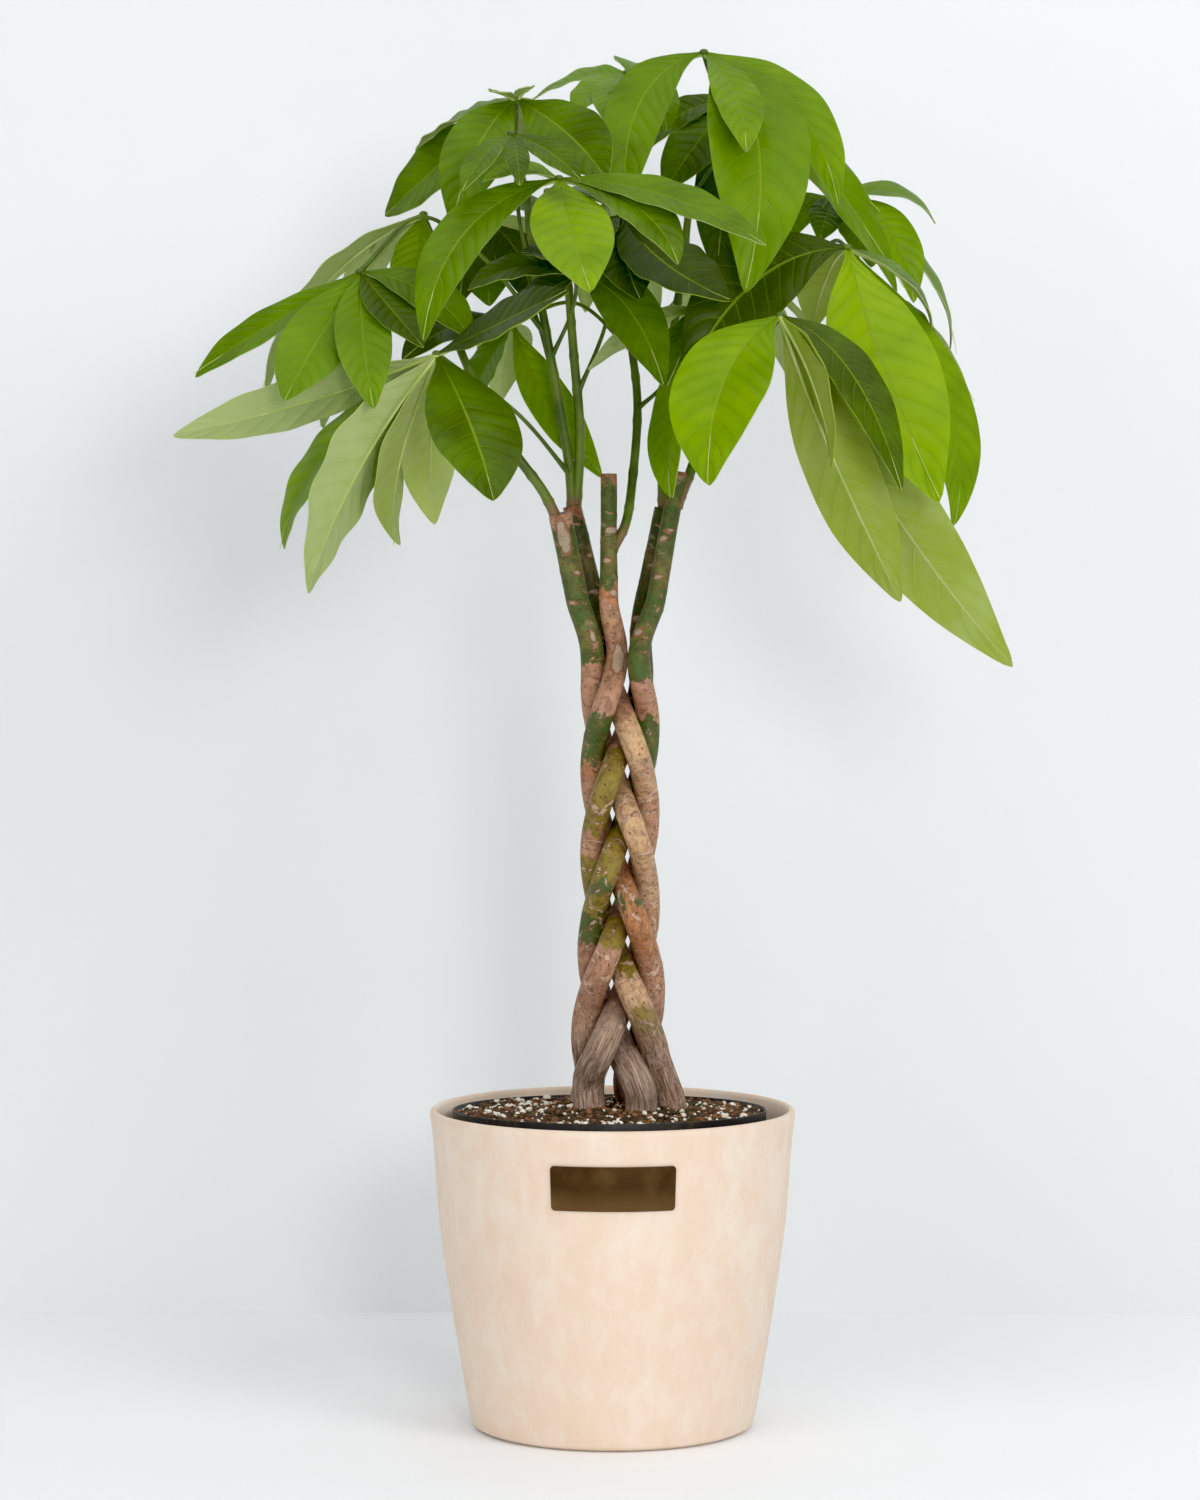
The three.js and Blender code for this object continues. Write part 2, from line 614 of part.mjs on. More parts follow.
TRUNKS.forEach((trunk, index) => {
  const shoots = SHOOTS.filter((shoot) => shoot.trunk === index);
  const grown = [trunkSolid(trunk), ...shoots.map((shoot) => shootSolid(shoot, 0))];
  group.add(meshOf(`trunk_${index + 1}`, wasm.Manifold.union(grown), BARK));
});

const stems = wasm.Manifold.union(SHOOTS.map((shoot) => shootSolid(shoot, GAP)));
const fans = BACK_LEAVES.map((leaf) => ({ ...leaf, leaflets: fanLeaflets(leaf) }));
for (const leaf of [...LEAVES, ...fans]) {
  group.add(meshOf(leaf.name, leafSolid(leaf, stems), LEAF_GREEN));
}

export default group;
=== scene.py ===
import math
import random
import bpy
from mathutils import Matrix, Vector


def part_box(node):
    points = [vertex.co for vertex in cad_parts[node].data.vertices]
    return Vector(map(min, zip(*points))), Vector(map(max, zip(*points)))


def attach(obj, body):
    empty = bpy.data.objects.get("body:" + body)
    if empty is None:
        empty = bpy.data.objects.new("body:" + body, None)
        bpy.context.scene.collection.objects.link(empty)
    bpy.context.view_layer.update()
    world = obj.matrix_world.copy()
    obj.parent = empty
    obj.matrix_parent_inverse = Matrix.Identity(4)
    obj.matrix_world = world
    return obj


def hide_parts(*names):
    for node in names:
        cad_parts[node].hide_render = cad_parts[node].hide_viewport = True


bl_info = {
    "name": "Potted money tree",
    "version": (1, 0, 0),
    "blender": (4, 5, 0),
    "location": "View3D > Sidebar > Money tree",
    "description": "A braided money tree in its grow pot and cream cover pot, with a pale studio",
    "category": "Add Mesh",
}

import bmesh
import bpy
from mathutils import Matrix, Vector, noise

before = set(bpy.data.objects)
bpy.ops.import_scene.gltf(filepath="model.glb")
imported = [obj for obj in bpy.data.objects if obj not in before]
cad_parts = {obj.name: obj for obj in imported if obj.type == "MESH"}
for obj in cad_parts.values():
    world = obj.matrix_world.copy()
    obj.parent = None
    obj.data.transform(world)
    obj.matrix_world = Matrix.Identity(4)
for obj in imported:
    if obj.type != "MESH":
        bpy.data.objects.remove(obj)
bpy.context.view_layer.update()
POT_LOW, POT_HIGH = (Vector(corner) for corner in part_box("outer_pot"))

MM = 0.001
WELD = 0.00001
UP = Vector((0, 0, 1))
FRONT = Vector((0, -1, 0))


def paint(red, green, blue):
    """Linear colour of a shade given as 0 to 255 on a screen."""
    def linear(level):
        share = level / 255
        return share / 12.92 if share <= 0.04045 else ((share + 0.055) / 1.055) ** 2.4
    return (linear(red), linear(green), linear(blue), 1.0)


# Cover pot: outer profile as radius and height in millimetres
COVER_PROFILE = [
    (102, 0),
    (107.5, 3),
    (110.5, 14),
    (117.5, 55),
    (126.3, 110),
    (132.6, 157),
    (136, 200),
    (138.2, 228),
    (140, 241),
]
COVER_WALL = 6 * MM
COVER_FLOOR = 9 * MM
COVER_STEPS = 128
COVER_SIDE_STEPS = 48

# Plate on the front of the cover pot
PLATE_WIDTH = 96 * MM
PLATE_HEIGHT = 33.5 * MM
PLATE_CENTRE_Z = 202 * MM
PLATE_THICKNESS = 1.4 * MM
PLATE_CORNER = 3 * MM
PLATE_GAP = 0.3 * MM

# Grow pot, leaning so that its front edge is a little higher, and the soil in it
GROW_RIM = 120.5 * MM
GROW_BASE = 92 * MM
GROW_HEIGHT = 231 * MM
GROW_WALL = 1.2 * MM
GROW_LIP = 3.2 * MM
GROW_TILT = math.radians(1.9)
GROW_CENTRE_X = -2.5 * MM
GROW_GAP = 0.3 * MM
SOIL_BELOW_RIM = 1.8 * MM
SOIL_MOUND = 5 * MM
SOIL_EDGE = 117.4 * MM
SOIL_RINGS = 84
SOIL_STEPS = 220

# Lumps of the soil: height in millimetres, and how close together
SOIL_LUMPS = [(1.6, 60), (1.5, 170), (0.9, 420)]

# Least and greatest size of the loose grains in millimetres, and where they lie
CRUMB_SIZES = (0.7, 3.2)
PERLITE_SIZES = (0.8, 3.0)
GRAIN_FIELD = SOIL_EDGE - 1.5 * MM
GRAIN_CLEARANCE = 12 * MM

# Braid: each strand runs out to an edge and back over the front once in a period. Lengths are in
# millimetres, and the half width and depth in strand radii.
BRAID_PERIOD = 326
BRAID_CENTRE_X = 5.5
BRAID_STRAND_RADIUS = 9.4
BRAID_HALF_WIDTH = 2.25
BRAID_HALF_DEPTH = 2.34
BRAID_LAG = 12
BRAID_ROOTS = (240, 288)
BRAID_CROWN = (555, 635)
TRUNK_FOOT_Z = 215
TRUNK_STOUTER = 3.5
STOUT_HEIGHTS = (215, 430)
SLIM_HEIGHTS = (540, 690)
FIBRE_HEIGHTS = (262, 345)
FIBRE_SHADE_HEIGHTS = (285, 345)
TRUNK_SIDES = 40
TRUNK_STEPS = 250

# Shades of the bark
FIBROUS = paint(158, 132, 116)
FIBROUS_BROWN = paint(152, 104, 74)
ROSY = paint(184, 138, 111)
PEACH = paint(210, 170, 130)
BEIGE = paint(200, 162, 128)
ORANGE = paint(186, 128, 86)
OLIVE = paint(140, 124, 50)
BLUE_GREEN = paint(78, 102, 56)
GREEN_BARK = paint(76, 98, 44)
# Painted shade: a darker copy of the green bark, for the two trunks at the back, which stand in
# shadow
SHADED_GREEN_BARK = paint(62, 78, 36)

# Each trunk: height where it passes through the middle, foot in the soil, place where the braid
# ends, cut top and the radius there in millimetres, its shades from each height upwards, and its
# scars as height, bearing from the front in degrees, half height in millimetres and half width
# in degrees
TRUNKS = [
    {"middle": 324, "root": (-17, -16), "crown": (-27, -9), "top": (-40, -16, 699), "radius": 9,
     "shades": [(0, FIBROUS), (330, ROSY), (404, BEIGE), (436, PEACH), (500, ROSY),
                (584, GREEN_BARK), (690, ROSY)],
     "scars": [(684, -5, 17, 40), (655, 30, 3, 36), (632, -30, 3, 40), (606, 20, 6, 18)]},
    # A trunk at the back: its upper green zone is the shaded green bark, painted shade
    {"middle": 389, "root": (-22, 22), "crown": (-14, 15), "top": (-31, 16, 705), "radius": 7.5,
     "shades": [(0, FIBROUS), (285, ROSY), (372, OLIVE), (392, ROSY), (480, BEIGE), (520, PEACH),
                (545, ROSY), (590, SHADED_GREEN_BARK), (697, FIBROUS_BROWN)],
     "scars": [(668, 40, 3, 36), (640, 10, 2, 50)]},
    {"middle": 585, "root": (16, 26), "crown": (-3, -17), "top": (-3, -13, 729), "radius": 6.5,
     "shades": [(0, FIBROUS_BROWN), (320, ROSY), (366, ORANGE), (400, BLUE_GREEN), (410, ORANGE),
                (430, ROSY), (500, ORANGE), (511, GREEN_BARK), (547, ROSY), (632, ORANGE),
                (646, GREEN_BARK), (725, FIBROUS_BROWN)],
     "scars": [(590, 8, 17, 34), (687, 20, 2.5, 56), (664, -10, 3, 50), (640, 30, 4, 40)]},
    {"middle": 454, "root": (21, -24), "crown": (33, -9), "top": (50, -10, 731), "radius": 7,
     "shades": [(0, FIBROUS), (305, ROSY), (372, GREEN_BARK), (396, OLIVE), (412, BLUE_GREEN),
                (420, OLIVE), (462, GREEN_BARK), (544, ROSY), (571, GREEN_BARK),
                (727, FIBROUS_BROWN)],
     "scars": [(687, 10, 2.5, 44), (681, -25, 2.5, 36), (652, -5, 3, 46), (610, -30, 4, 32),
               (500, -20, 4, 34)]},
    # A trunk at the back: its upper green zone is the shaded green bark, painted shade
    {"middle": 520, "root": (45, 4), "crown": (25, 17), "top": (39, 16, 703), "radius": 7.5,
     "shades": [(0, FIBROUS_BROWN), (283, ROSY), (304, OLIVE), (326, PEACH), (352, OLIVE),
                (440, ROSY), (458, OLIVE), (520, ROSY), (545, SHADED_GREEN_BARK)],
     "scars": [(660, 0, 3, 44), (620, -30, 3, 40)]},
]

# Green shoots: course and radius at both ends, in millimetres
SHOOTS = [
    {"radii": (4.4, 3), "path": [(-39, -16, 688), (-52, -17, 715), (-75, -20, 747),
                                 (-100, -8, 790), (-120, 22, 835), (-130, 45, 880)]},
    {"radii": (4.2, 3.2), "path": [(-29, 16, 690), (-25, 11, 760), (-30, 0, 825),
                                   (-35, -10, 890)]},
    {"radii": (4.4, 2.8), "path": [(-30, 16, 692), (-33, 13, 735), (-42, 10, 790),
                                   (-51, 7, 840), (-62, 6, 905), (-66, 2, 950)]},
    {"radii": (4, 3), "path": [(-2, -12, 670), (9, -8, 690), (15, 10, 725), (19, 28, 785),
                               (14, 30, 830), (6, 32, 875)]},
    {"radii": (4.2, 3), "path": [(39, 16, 690), (38, 17, 725), (38, 19, 770), (43, 26, 815),
                                 (51, 35, 870), (60, 41, 945)]},
    {"radii": (4.4, 3), "path": [(48, -10, 705), (57, -8, 726), (68, -2, 755), (95, 12, 805),
                                 (124, 18, 855), (148, 12, 888)]},
]

# Leaves. A petiole runs from its shoot to the hub. Each leaflet is its tip's x, y and z, the width,
# the turn towards the front in degrees, how far its middle is lifted and drawn to +X, and its
# shade from 0, deep green, to 1, yellow-green. The shade is partly the leaflet's own green and
# partly painted shade and light: leaflets in shadow inside the crown get low values, brightly lit
# ones high values. Lengths are in millimetres.
LEAVES = {
    "leaf_01": {"petiole": [(-51, 7, 838), (-72, 18, 930), (-73, -20, 1012)], "leaflets": [
        (-119, -85, 915, 48, 35, 21, -9, 0.4), (-151, 45, 977, 42, 25, 10, -13, 0.45),
        (-175, 30, 928, 54, 58, -8, -12, 0.4), (-5, -100, 946, 52, 40, 7, 10, 0.35),
        (-84, 110, 973, 46, 0, 28, 0, 0.35), (-92, -38, 1016, 24, 10, 2, 0, 0.6),
        (-60, -30, 1021, 22, 10, 2, 0, 0.6),
    ]},
    "leaf_02": {"petiole": [(-66, 3, 945), (-68, -40, 957), (-75, -90, 980)], "leaflets": [
        (-24, -138, 943, 24, 30, 7, 4, 0.35), (-68, -150, 938, 18, 0, 6, 2, 0.3),
        (-110, -140, 935, 24, 10, 8, -4, 0.4),
    ]},
    "leaf_03": {"petiole": [(-35, -9, 886), (-36, -50, 925), (-40, -90, 947)], "leaflets": [
        (-17, -200, 860, 60, 5, 6, -5, 0.8), (-138, -165, 825, 40, 40, 38, -38, 0.45),
        (110, -165, 894, 36, 35, 22, 6, 0.5), (47, -170, 880, 38, 25, 19, 27, 0.4),
        (-97, -88, 945, 40, 20, 14, -1, 0.7),
    ]},
    "leaf_04": {"petiole": [(-51, 7, 836), (-100, -15, 895), (-145, -40, 922), (-189, -60, 880)],
                "leaflets": [
        (-174, -160, 776, 42, 0, 9, -6, 0.6), (-313, -70, 804, 38, 35, -2, -7, 0.5),
        (-239, -152, 782, 50, 30, -7, -7, 0.6), (-222, -20, 766, 48, 20, -1, 8, 0.65),
        (-104, -95, 828, 40, 35, 20, 13, 0.4), (-139, -122, 822, 38, 15, 1, -2, 0.25),
    ]},
    "leaf_05": {"petiole": [(-33, 13, 730), (-72, -50, 775), (-130, -110, 817)], "leaflets": [
        (-325, -98, 758, 44, -50, -12, -2, 0.6), (-222, -170, 642, 84, -58, 3, -21, 0.5),
        (-86, -205, 710, 68, 8, -1, 9, 0.3), (-34, -170, 861, 54, 40, 0, 3, 0.05),
        (-135, -60, 693, 46, 20, -1, -6, 0.8), (-163, -95, 676, 72, 10, -12, -22, 0.8),
        (-249, -70, 674, 52, 40, -1, -44, 0.75), (-195, -40, 745, 30, -40, 6, -4, 0.3),
    ]},
    "leaf_06": {"petiole": [(60, 41, 940), (84, 12, 985), (69, 0, 1049)], "leaflets": [
        (98, -100, 967, 36, 5, 8, 16, 0.65), (10, -62, 924, 44, 40, 42, -39, 0.5),
        (168, -60, 930, 42, 40, 34, 35, 0.65), (222, 10, 872, 46, 45, 25, 8, 0.65),
        (206, 42, 932, 46, 30, 0, 8, 0.55), (98, -110, 865, 76, 5, 49, 48, 0.6),
    ]},
    "leaf_07": {"petiole": [(147, 12, 886), (166, -10, 905), (175, -60, 898)], "leaflets": [
        (236, -170, 711, 80, 18, 12, -16, 0.85), (53, -82, 799, 66, 62, 48, -14, 0.05),
        (153, 40, 842, 46, 0, 28, 0, 0.15), (242, -45, 837, 44, 20, 13, 20, 0.4),
        (262, 30, 690, 38, 125, -14, 66, 0.75),
    ]},
    "leaf_08": {"petiole": [(39, 19, 772), (80, -64, 780), (122, -135, 844)], "leaflets": [
        (160, -180, 732, 54, -60, 14, 8, 0.15), (212, -130, 636, 58, -60, -10, -7, 0.2),
        (297, -70, 587, 66, -68, -9, -20, 0.25), (206, -215, 716, 38, 25, 43, 14, 0.25),
        (67, -205, 721, 74, 15, 30, -26, 0.75), (186, -60, 790, 40, 30, 13, 9, 0.4),
    ]},
    "leaf_09": {"petiole": [(124, 18, 856), (135, 40, 915), (174, 60, 943)], "leaflets": [
        (252, 85, 926, 36, 25, 28, 13, 0.5), (232, 40, 862, 40, 35, 30, 22, 0.7),
        (271, 115, 826, 36, 40, 18, 36, 0.6), (199, 30, 889, 38, 25, 9, 8, 0.7),
        (135, 30, 908, 34, 25, 19, -15, 0.6), (158, 10, 908, 28, 20, 8, -3, 0.4),
        (144, 95, 982, 42, 10, 11, -1, 0.65),
    ]},
    "leaf_10": {"petiole": [(8, 31, 862), (4, 50, 955), (11, 45, 1038)], "leaflets": [
        (-64, 70, 1020, 34, 25, 14, 6, 0.6), (-28, -15, 1002, 32, 10, 7, -6, 0.6),
        (-5, -35, 995, 30, 0, 9, -5, 0.65), (21, -12, 973, 28, 0, 11, 5, 0.75),
        (41, -5, 990, 32, 10, 17, 12, 0.6), (29, 115, 1030, 40, 10, 28, 0, 0.5),
    ]},
    "leaf_11": {"petiole": [(59, 40, 930), (80, 60, 975), (93, 65, 1019)], "leaflets": [
        (24, 60, 979, 38, 35, 19, -9, 0.25), (39, 20, 945, 43, 35, 9, 1, 0.3),
        (147, 110, 984, 44, 10, 20, 13, 0.4), (116, 130, 955, 46, 0, 28, 0, 0.4),
        (80, 34, 884, 46, 20, 5, 0, 0.2),
    ]},
    "leaf_12": {"petiole": [(-27, 5, 790), (-5, 0, 845), (7, -25, 925)], "leaflets": [
        (85, -122, 857, 60, 20, -10, -16, 0.1), (20, -90, 859, 44, 10, 1, -10, 0.1),
        (-39, -92, 885, 36, 15, 4, -2, 0.15), (-52, 50, 941, 44, 10, 28, 0, 0.3),
    ]},
    "leaf_13": {"petiole": [(-47, 8, 818), (-32, -5, 850), (-26, -45, 878)], "leaflets": [
        (37, -110, 795, 42, 40, 31, 11, 0.35), (-81, -40, 837, 44, 35, 10, -2, 0.1),
        (-68, -55, 895, 38, 20, 9, -3, 0.15), (-109, -50, 867, 40, 30, 22, -5, 0.3),
    ]},
    "leaf_14": {"petiole": [(15, 30, 825), (-30, 45, 862), (-77, 45, 847)], "leaflets": [
        (-7, 30, 729, 42, 45, -4, -16, 0.8), (-116, 40, 772, 46, 25, 2, -5, 0.6),
        (-88, 85, 788, 44, 0, 28, 0, 0.6), (-161, 10, 817, 56, 20, 22, -4, 0.05),
    ]},
    "leaf_15": {"petiole": [(19, 28, 780), (40, 5, 800), (64, -25, 856)], "leaflets": [
        (-20, -65, 808, 44, -30, 9, -3, 0.5), (38, -75, 796, 36, -20, 7, -4, 0.5),
        (42, -85, 712, 44, -35, -14, -18, 0.7), (106, 10, 821, 46, 30, 28, 0, 0.5),
    ]},
    "leaf_16": {"petiole": [(-128, 41, 874), (-135, 60, 905), (-146, 60, 931)], "leaflets": [
        (-272, 30, 790, 46, -25, 34, -24, 0.4), (-153, 50, 851, 42, 10, 6, -3, 0.75),
        (-187, 90, 896, 42, 20, 10, -4, 0.5), (-210, 110, 844, 44, 0, 16, -14, 0.5),
    ]},
    "leaf_17": {"petiole": [(-43, 10, 795), (-62, 35, 860), (-95, 60, 925)], "leaflets": [
        (-116, 6, 861, 42, 20, 9, -11, 0.15), (-95, 52, 860, 46, 10, 9, -4, 0.55),
        (-62, 20, 858, 44, 15, 9, 15, 0.1), (-128, 52, 912, 36, 20, 21, 0, 0.5),
        (-41, 60, 922, 40, 20, 28, 5, 0.3), (-85, 135, 899, 46, 0, 28, 0, 0.3),
    ]},
}

# Leaves of the back: a fan of leaflets that opens towards a bearing in degrees from +X
BACK_LEAVES = {
    "leaf_18": {"petiole": [(13, 30, 836), (2, 85, 905), (-5, 150, 945)],
                "bearing": 100, "length": 130, "count": 5},
    "leaf_19": {"petiole": [(50, 34, 865), (72, 95, 900), (95, 150, 890)],
                "bearing": 95, "length": 135, "count": 5},
    "leaf_20": {"petiole": [(146, 13, 885), (176, 62, 890), (205, 112, 872)],
                "bearing": 40, "length": 130, "count": 4},
}

# The fan's spread in degrees, and the reach, drop, width and rise as shares of a leaflet's length
FAN_SPREAD = 175
FAN_REACH = 0.74
FAN_DROP = 0.62
FAN_WIDTH = 0.32
FAN_RISE = 0.28

# Outline of a leaflet: width as a share of its greatest, along its length
OUTLINE = [(0, 0.04), (0.06, 0.13), (0.15, 0.38), (0.3, 0.77), (0.45, 0.97), (0.56, 1),
           (0.68, 0.92), (0.79, 0.73), (0.88, 0.48), (0.94, 0.28), (0.98, 0.14), (1, 0.02)]
BLADE_COLUMNS = 14
BLADE_ROWS = 64
VEIN_PAIRS = 11
VEIN_LEAN = 1.6
VEIN_CURVE = 1.25

# Fold at the midrib and flattening outside it as shares of the half width, greatest twist in
# degrees, and greatest sag of the tip as a share of the length
BLADE_FOLD = 0.24
BLADE_FLATTENED = 0.1
BLADE_TWIST = 12
BLADE_SAG = 0.035

# Hub of a leaf, and the steps along and sides around the stems
HUB_RADIUS = 3.5 * MM
SHOOT_MESH = (110, 18)
PETIOLE_MESH = (40, 10)
RIB_MESH = (26, 7)

# Materials of a leaf, in the order of its slots
UPPER, UNDER, STEM, RIB = range(4)

# Lights: place, point that they face, diameter in metres and power in watts
LIGHTS = {
    "front_light": ((0.5, -3.1, 1.1), (0, 0, 0.7), 0.6, 23),
    "key_light": ((2.1, -2.4, 2.1), (0.05, 0, 0.75), 1.8, 36),
    "fill_light": ((-2.3, -2.6, 1.4), (0, 0, 0.7), 2.8, 25),
    "top_light": ((0.1, -0.9, 3.0), (0, 0, 0.7), 2.2, 22),
}
AIR_SHADE = paint(238, 240, 242)
AIR_STRENGTH = 0.31

# Floor and wall of the studio, in metres
FLOOR_SIZE = 15
FLOOR_DROP = 0.0002
WALL_SIZE = 8
WALL_MIDDLE_Z = 3.9


class Signal:
    """A value inside a material's node tree, with Python's arithmetic."""

    def __init__(self, surface, socket):
        self.surface = surface
        self.socket = socket

    def math(self, operation, *others):
        return self.surface.arithmetic(operation, self, *others)

    def __add__(self, other):
        return self.math("ADD", other)

    __radd__ = __add__

    def __sub__(self, other):
        return self.math("SUBTRACT", other)

    def __rsub__(self, other):
        return self.surface.arithmetic("SUBTRACT", other, self)

    def __mul__(self, other):
        return self.math("MULTIPLY", other)

    __rmul__ = __mul__

    def __truediv__(self, other):
        return self.math("DIVIDE", other)

    def __pow__(self, other):
        return self.math("POWER", other)

    def __abs__(self):
        return self.math("ABSOLUTE")


class Surface:
    """The node tree of one material."""

    def __init__(self, name):
        self.material = bpy.data.materials.new(name)
        self.material.use_nodes = True
        self.tree = self.material.node_tree
        self.tree.nodes.clear()

    def node(self, kind, inputs=None, output=0, **settings):
        """Add a node; an input is a signal or a constant."""
        item = self.tree.nodes.new(kind)
        for key, value in settings.items():
            setattr(item, key, value)
        for key, value in (inputs or {}).items():
            if isinstance(value, Signal):
                self.tree.links.new(value.socket, item.inputs[key])
            else:
                item.inputs[key].default_value = value
        return Signal(self, item.outputs[output]) if item.outputs else None

    def arithmetic(self, operation, *values):
        """Sums on numbers; a Math node is added for each."""
        return self.node("ShaderNodeMath", dict(enumerate(values)), operation=operation)

    def place(self, stretch=(1, 1, 1)):
        """Object coordinates, stretched."""
        return self.mapped(self.node("ShaderNodeTexCoord", output="Object"), stretch)

    def mapped(self, vector, stretch):
        """A vector, stretched along its axes."""
        return self.node("ShaderNodeMapping", {"Vector": vector, "Scale": stretch})

    def axis(self, vector, name):
        """One coordinate of a vector."""
        return self.node("ShaderNodeSeparateXYZ", {0: vector}, name)

    def attribute(self, name, output="Fac"):
        """A value that the piece's mesh carries."""
        return self.node("ShaderNodeAttribute", output=output, attribute_name=name)

    def grain(self, vector, scale, detail=3, roughness=0.5, distortion=0):
        """Cloudy pattern from 0 to 1, with a mean of about 0.5."""
        inputs = {"Vector": vector, "Scale": scale, "Detail": detail, "Roughness": roughness,
                  "Distortion": distortion}
        return self.node("ShaderNodeTexNoise", inputs)

    def cells(self, vector, scale, feature="F1"):
        """Distance in a pattern of cells."""
        inputs = {"Vector": vector, "Scale": scale}
        return self.node("ShaderNodeTexVoronoi", inputs, feature=feature)

    def step(self, value, low, high):
        """0 below low, 1 above high and smooth between."""
        inputs = {"Value": value, "From Min": low, "From Max": high}
        return self.node("ShaderNodeMapRange", inputs, interpolation_type="SMOOTHSTEP")

    def mix(self, share, first, second):
        """The first colour where the share is 0, the second where it is 1."""
        inputs = {0: share, 6: first, 7: second}
        return self.node("ShaderNodeMix", inputs, 2, data_type="RGBA")

    def coats(self, color, *coats):
        """Lay shades over a colour, each by its own share."""
        for share, shade_above in coats:
            color = self.mix(share, color, shade_above)
        return color

    def bump(self, height, strength, distance):
        """Fine relief; the distance is that of a height of 1, in metres."""
        inputs = {"Height": height, "Strength": strength, "Distance": distance}
        return self.node("ShaderNodeBump", inputs)

    def finish(self, **inputs):
        """Principled surface; underscores in the names stand for spaces."""
        sockets = {name.replace("_", " "): value for name, value in inputs.items()}
        return self.node("ShaderNodeBsdfPrincipled", sockets)

    def blend(self, share, first, second):
        """Two shaders, blended."""
        return self.node("ShaderNodeMixShader", {0: share, 1: first, 2: second})

    def output(self, shader):
        """The finished material."""
        self.node("ShaderNodeOutputMaterial", {"Surface": shader})
        return self.material

    def skin(self, color, roughness, normal, **inputs):
        """Material with one principled surface."""
        return self.output(self.finish(Base_Color=color, Roughness=roughness, Normal=normal,
                                       **inputs))


def cream_stoneware(settings):
    """Matt cream with lighter clouds, faint streaks down the wall, painted sheen at the flanks."""
    surface = Surface("cream_stoneware")
    clouds = surface.grain(surface.place((1, 1, 0.8)), 24, 7, 0.7, 0.4)
    streaks = surface.grain(surface.place((1, 1, 0.45)), 70, 6, 0.7, 0.5)
    freckles = surface.grain(surface.place(), 260, 2)
    # Painted sheen: the pot's left and right flanks, as seen from the front, are made a little
    # paler.
    sides = surface.step(abs(surface.axis(surface.place(), "X")), 0.02, 0.12)
    pale_and_side_sheen = surface.step(clouds * 0.55 + streaks * 0.45 + sides * 0.05, 0.4, 0.7)
    color = surface.coats(settings.cream, (pale_and_side_sheen * 0.75, settings.cream_pale_and_side_sheen),
                          (surface.step(freckles, 0.62, 0.78) * 0.15, settings.cream_pale_and_side_sheen))
    normal = surface.bump(streaks + freckles * 0.3, 0.25, 0.0004)
    return surface.skin(color, 0.5 + clouds * 0.2, normal, Specular_IOR_Level=0.35)


def brushed_bronze(settings):
    """Dark bronze, brushed along its length, with a painted highlight that lightens the lower edge.
    """
    surface = Surface("brushed_bronze")
    brushed = surface.grain(surface.place((0.04, 0.04, 1)), 2600, 3, 0.6)
    tarnish = surface.grain(surface.place(), 45, 4)
    # Painted highlight: the plate is made lighter towards its lower edge.
    low = 1 - surface.step(surface.axis(surface.place(), "Z"), 0.186, 0.206)
    share = low * 0.5 + surface.step(tarnish, 0.45, 0.75) * 0.3 + brushed * 0.25
    color = surface.mix(share, settings.bronze, settings.bronze_pale_and_edge_highlight)
    normal = surface.bump(brushed, 0.25, 0.0002)
    return surface.skin(color, 0.3 + brushed * 0.22, normal, Metallic=0.9)


def black_plastic():
    """Thin blown black plastic with a satin skin and dust."""
    surface = Surface("black_plastic")
    skin = surface.grain(surface.place(), 120, 3)
    dust = surface.step(surface.grain(surface.place(), 24, 6, 0.75), 0.48, 0.7)
    color = surface.mix(dust * 0.6, paint(16, 15, 14), paint(104, 82, 60))
    return surface.skin(color, 0.38 + skin * 0.2, surface.bump(skin, 0.2, 0.0003))


def potting_soil():
    """Damp dark soil with mossy and dry places."""
    surface = Surface("potting_soil")
    crumbs = surface.grain(surface.place(), 320, 5, 0.7)
    patches = surface.grain(surface.place(), 26, 4)
    color = surface.mix(surface.step(crumbs, 0.35, 0.7), paint(30, 23, 14), paint(108, 80, 54))
    color = surface.mix(surface.step(patches, 0.5, 0.7) * 0.65, color, paint(74, 74, 30))
    return surface.skin(color, 0.9, surface.bump(crumbs, 0.9, 0.002))


def perlite_grain():
    """White to cream grains, stained a little by the soil."""
    surface = Surface("perlite_grain")
    pits = surface.grain(surface.place(), 900, 3, 0.6)
    stain = surface.step(surface.grain(surface.place(), 90, 3), 0.45, 0.7)
    color = surface.mix(stain * 0.6, paint(246, 240, 226), paint(182, 158, 126))
    return surface.skin(color, 0.85, surface.bump(pits, 0.6, 0.0006))


def bark_chip():
    """Brown chips and crumbs of composted bark."""
    surface = Surface("bark_chip")
    fibres = surface.grain(surface.place((1, 1, 3)), 240, 4, 0.65)
    shade = surface.step(surface.grain(surface.place(), 70, 2), 0.35, 0.65)
    color = surface.mix(shade, paint(48, 32, 21), paint(160, 108, 74))
    color = surface.mix(fibres * 0.4, color, paint(80, 78, 34))
    return surface.skin(color, 0.85, surface.bump(fibres, 0.8, 0.001))


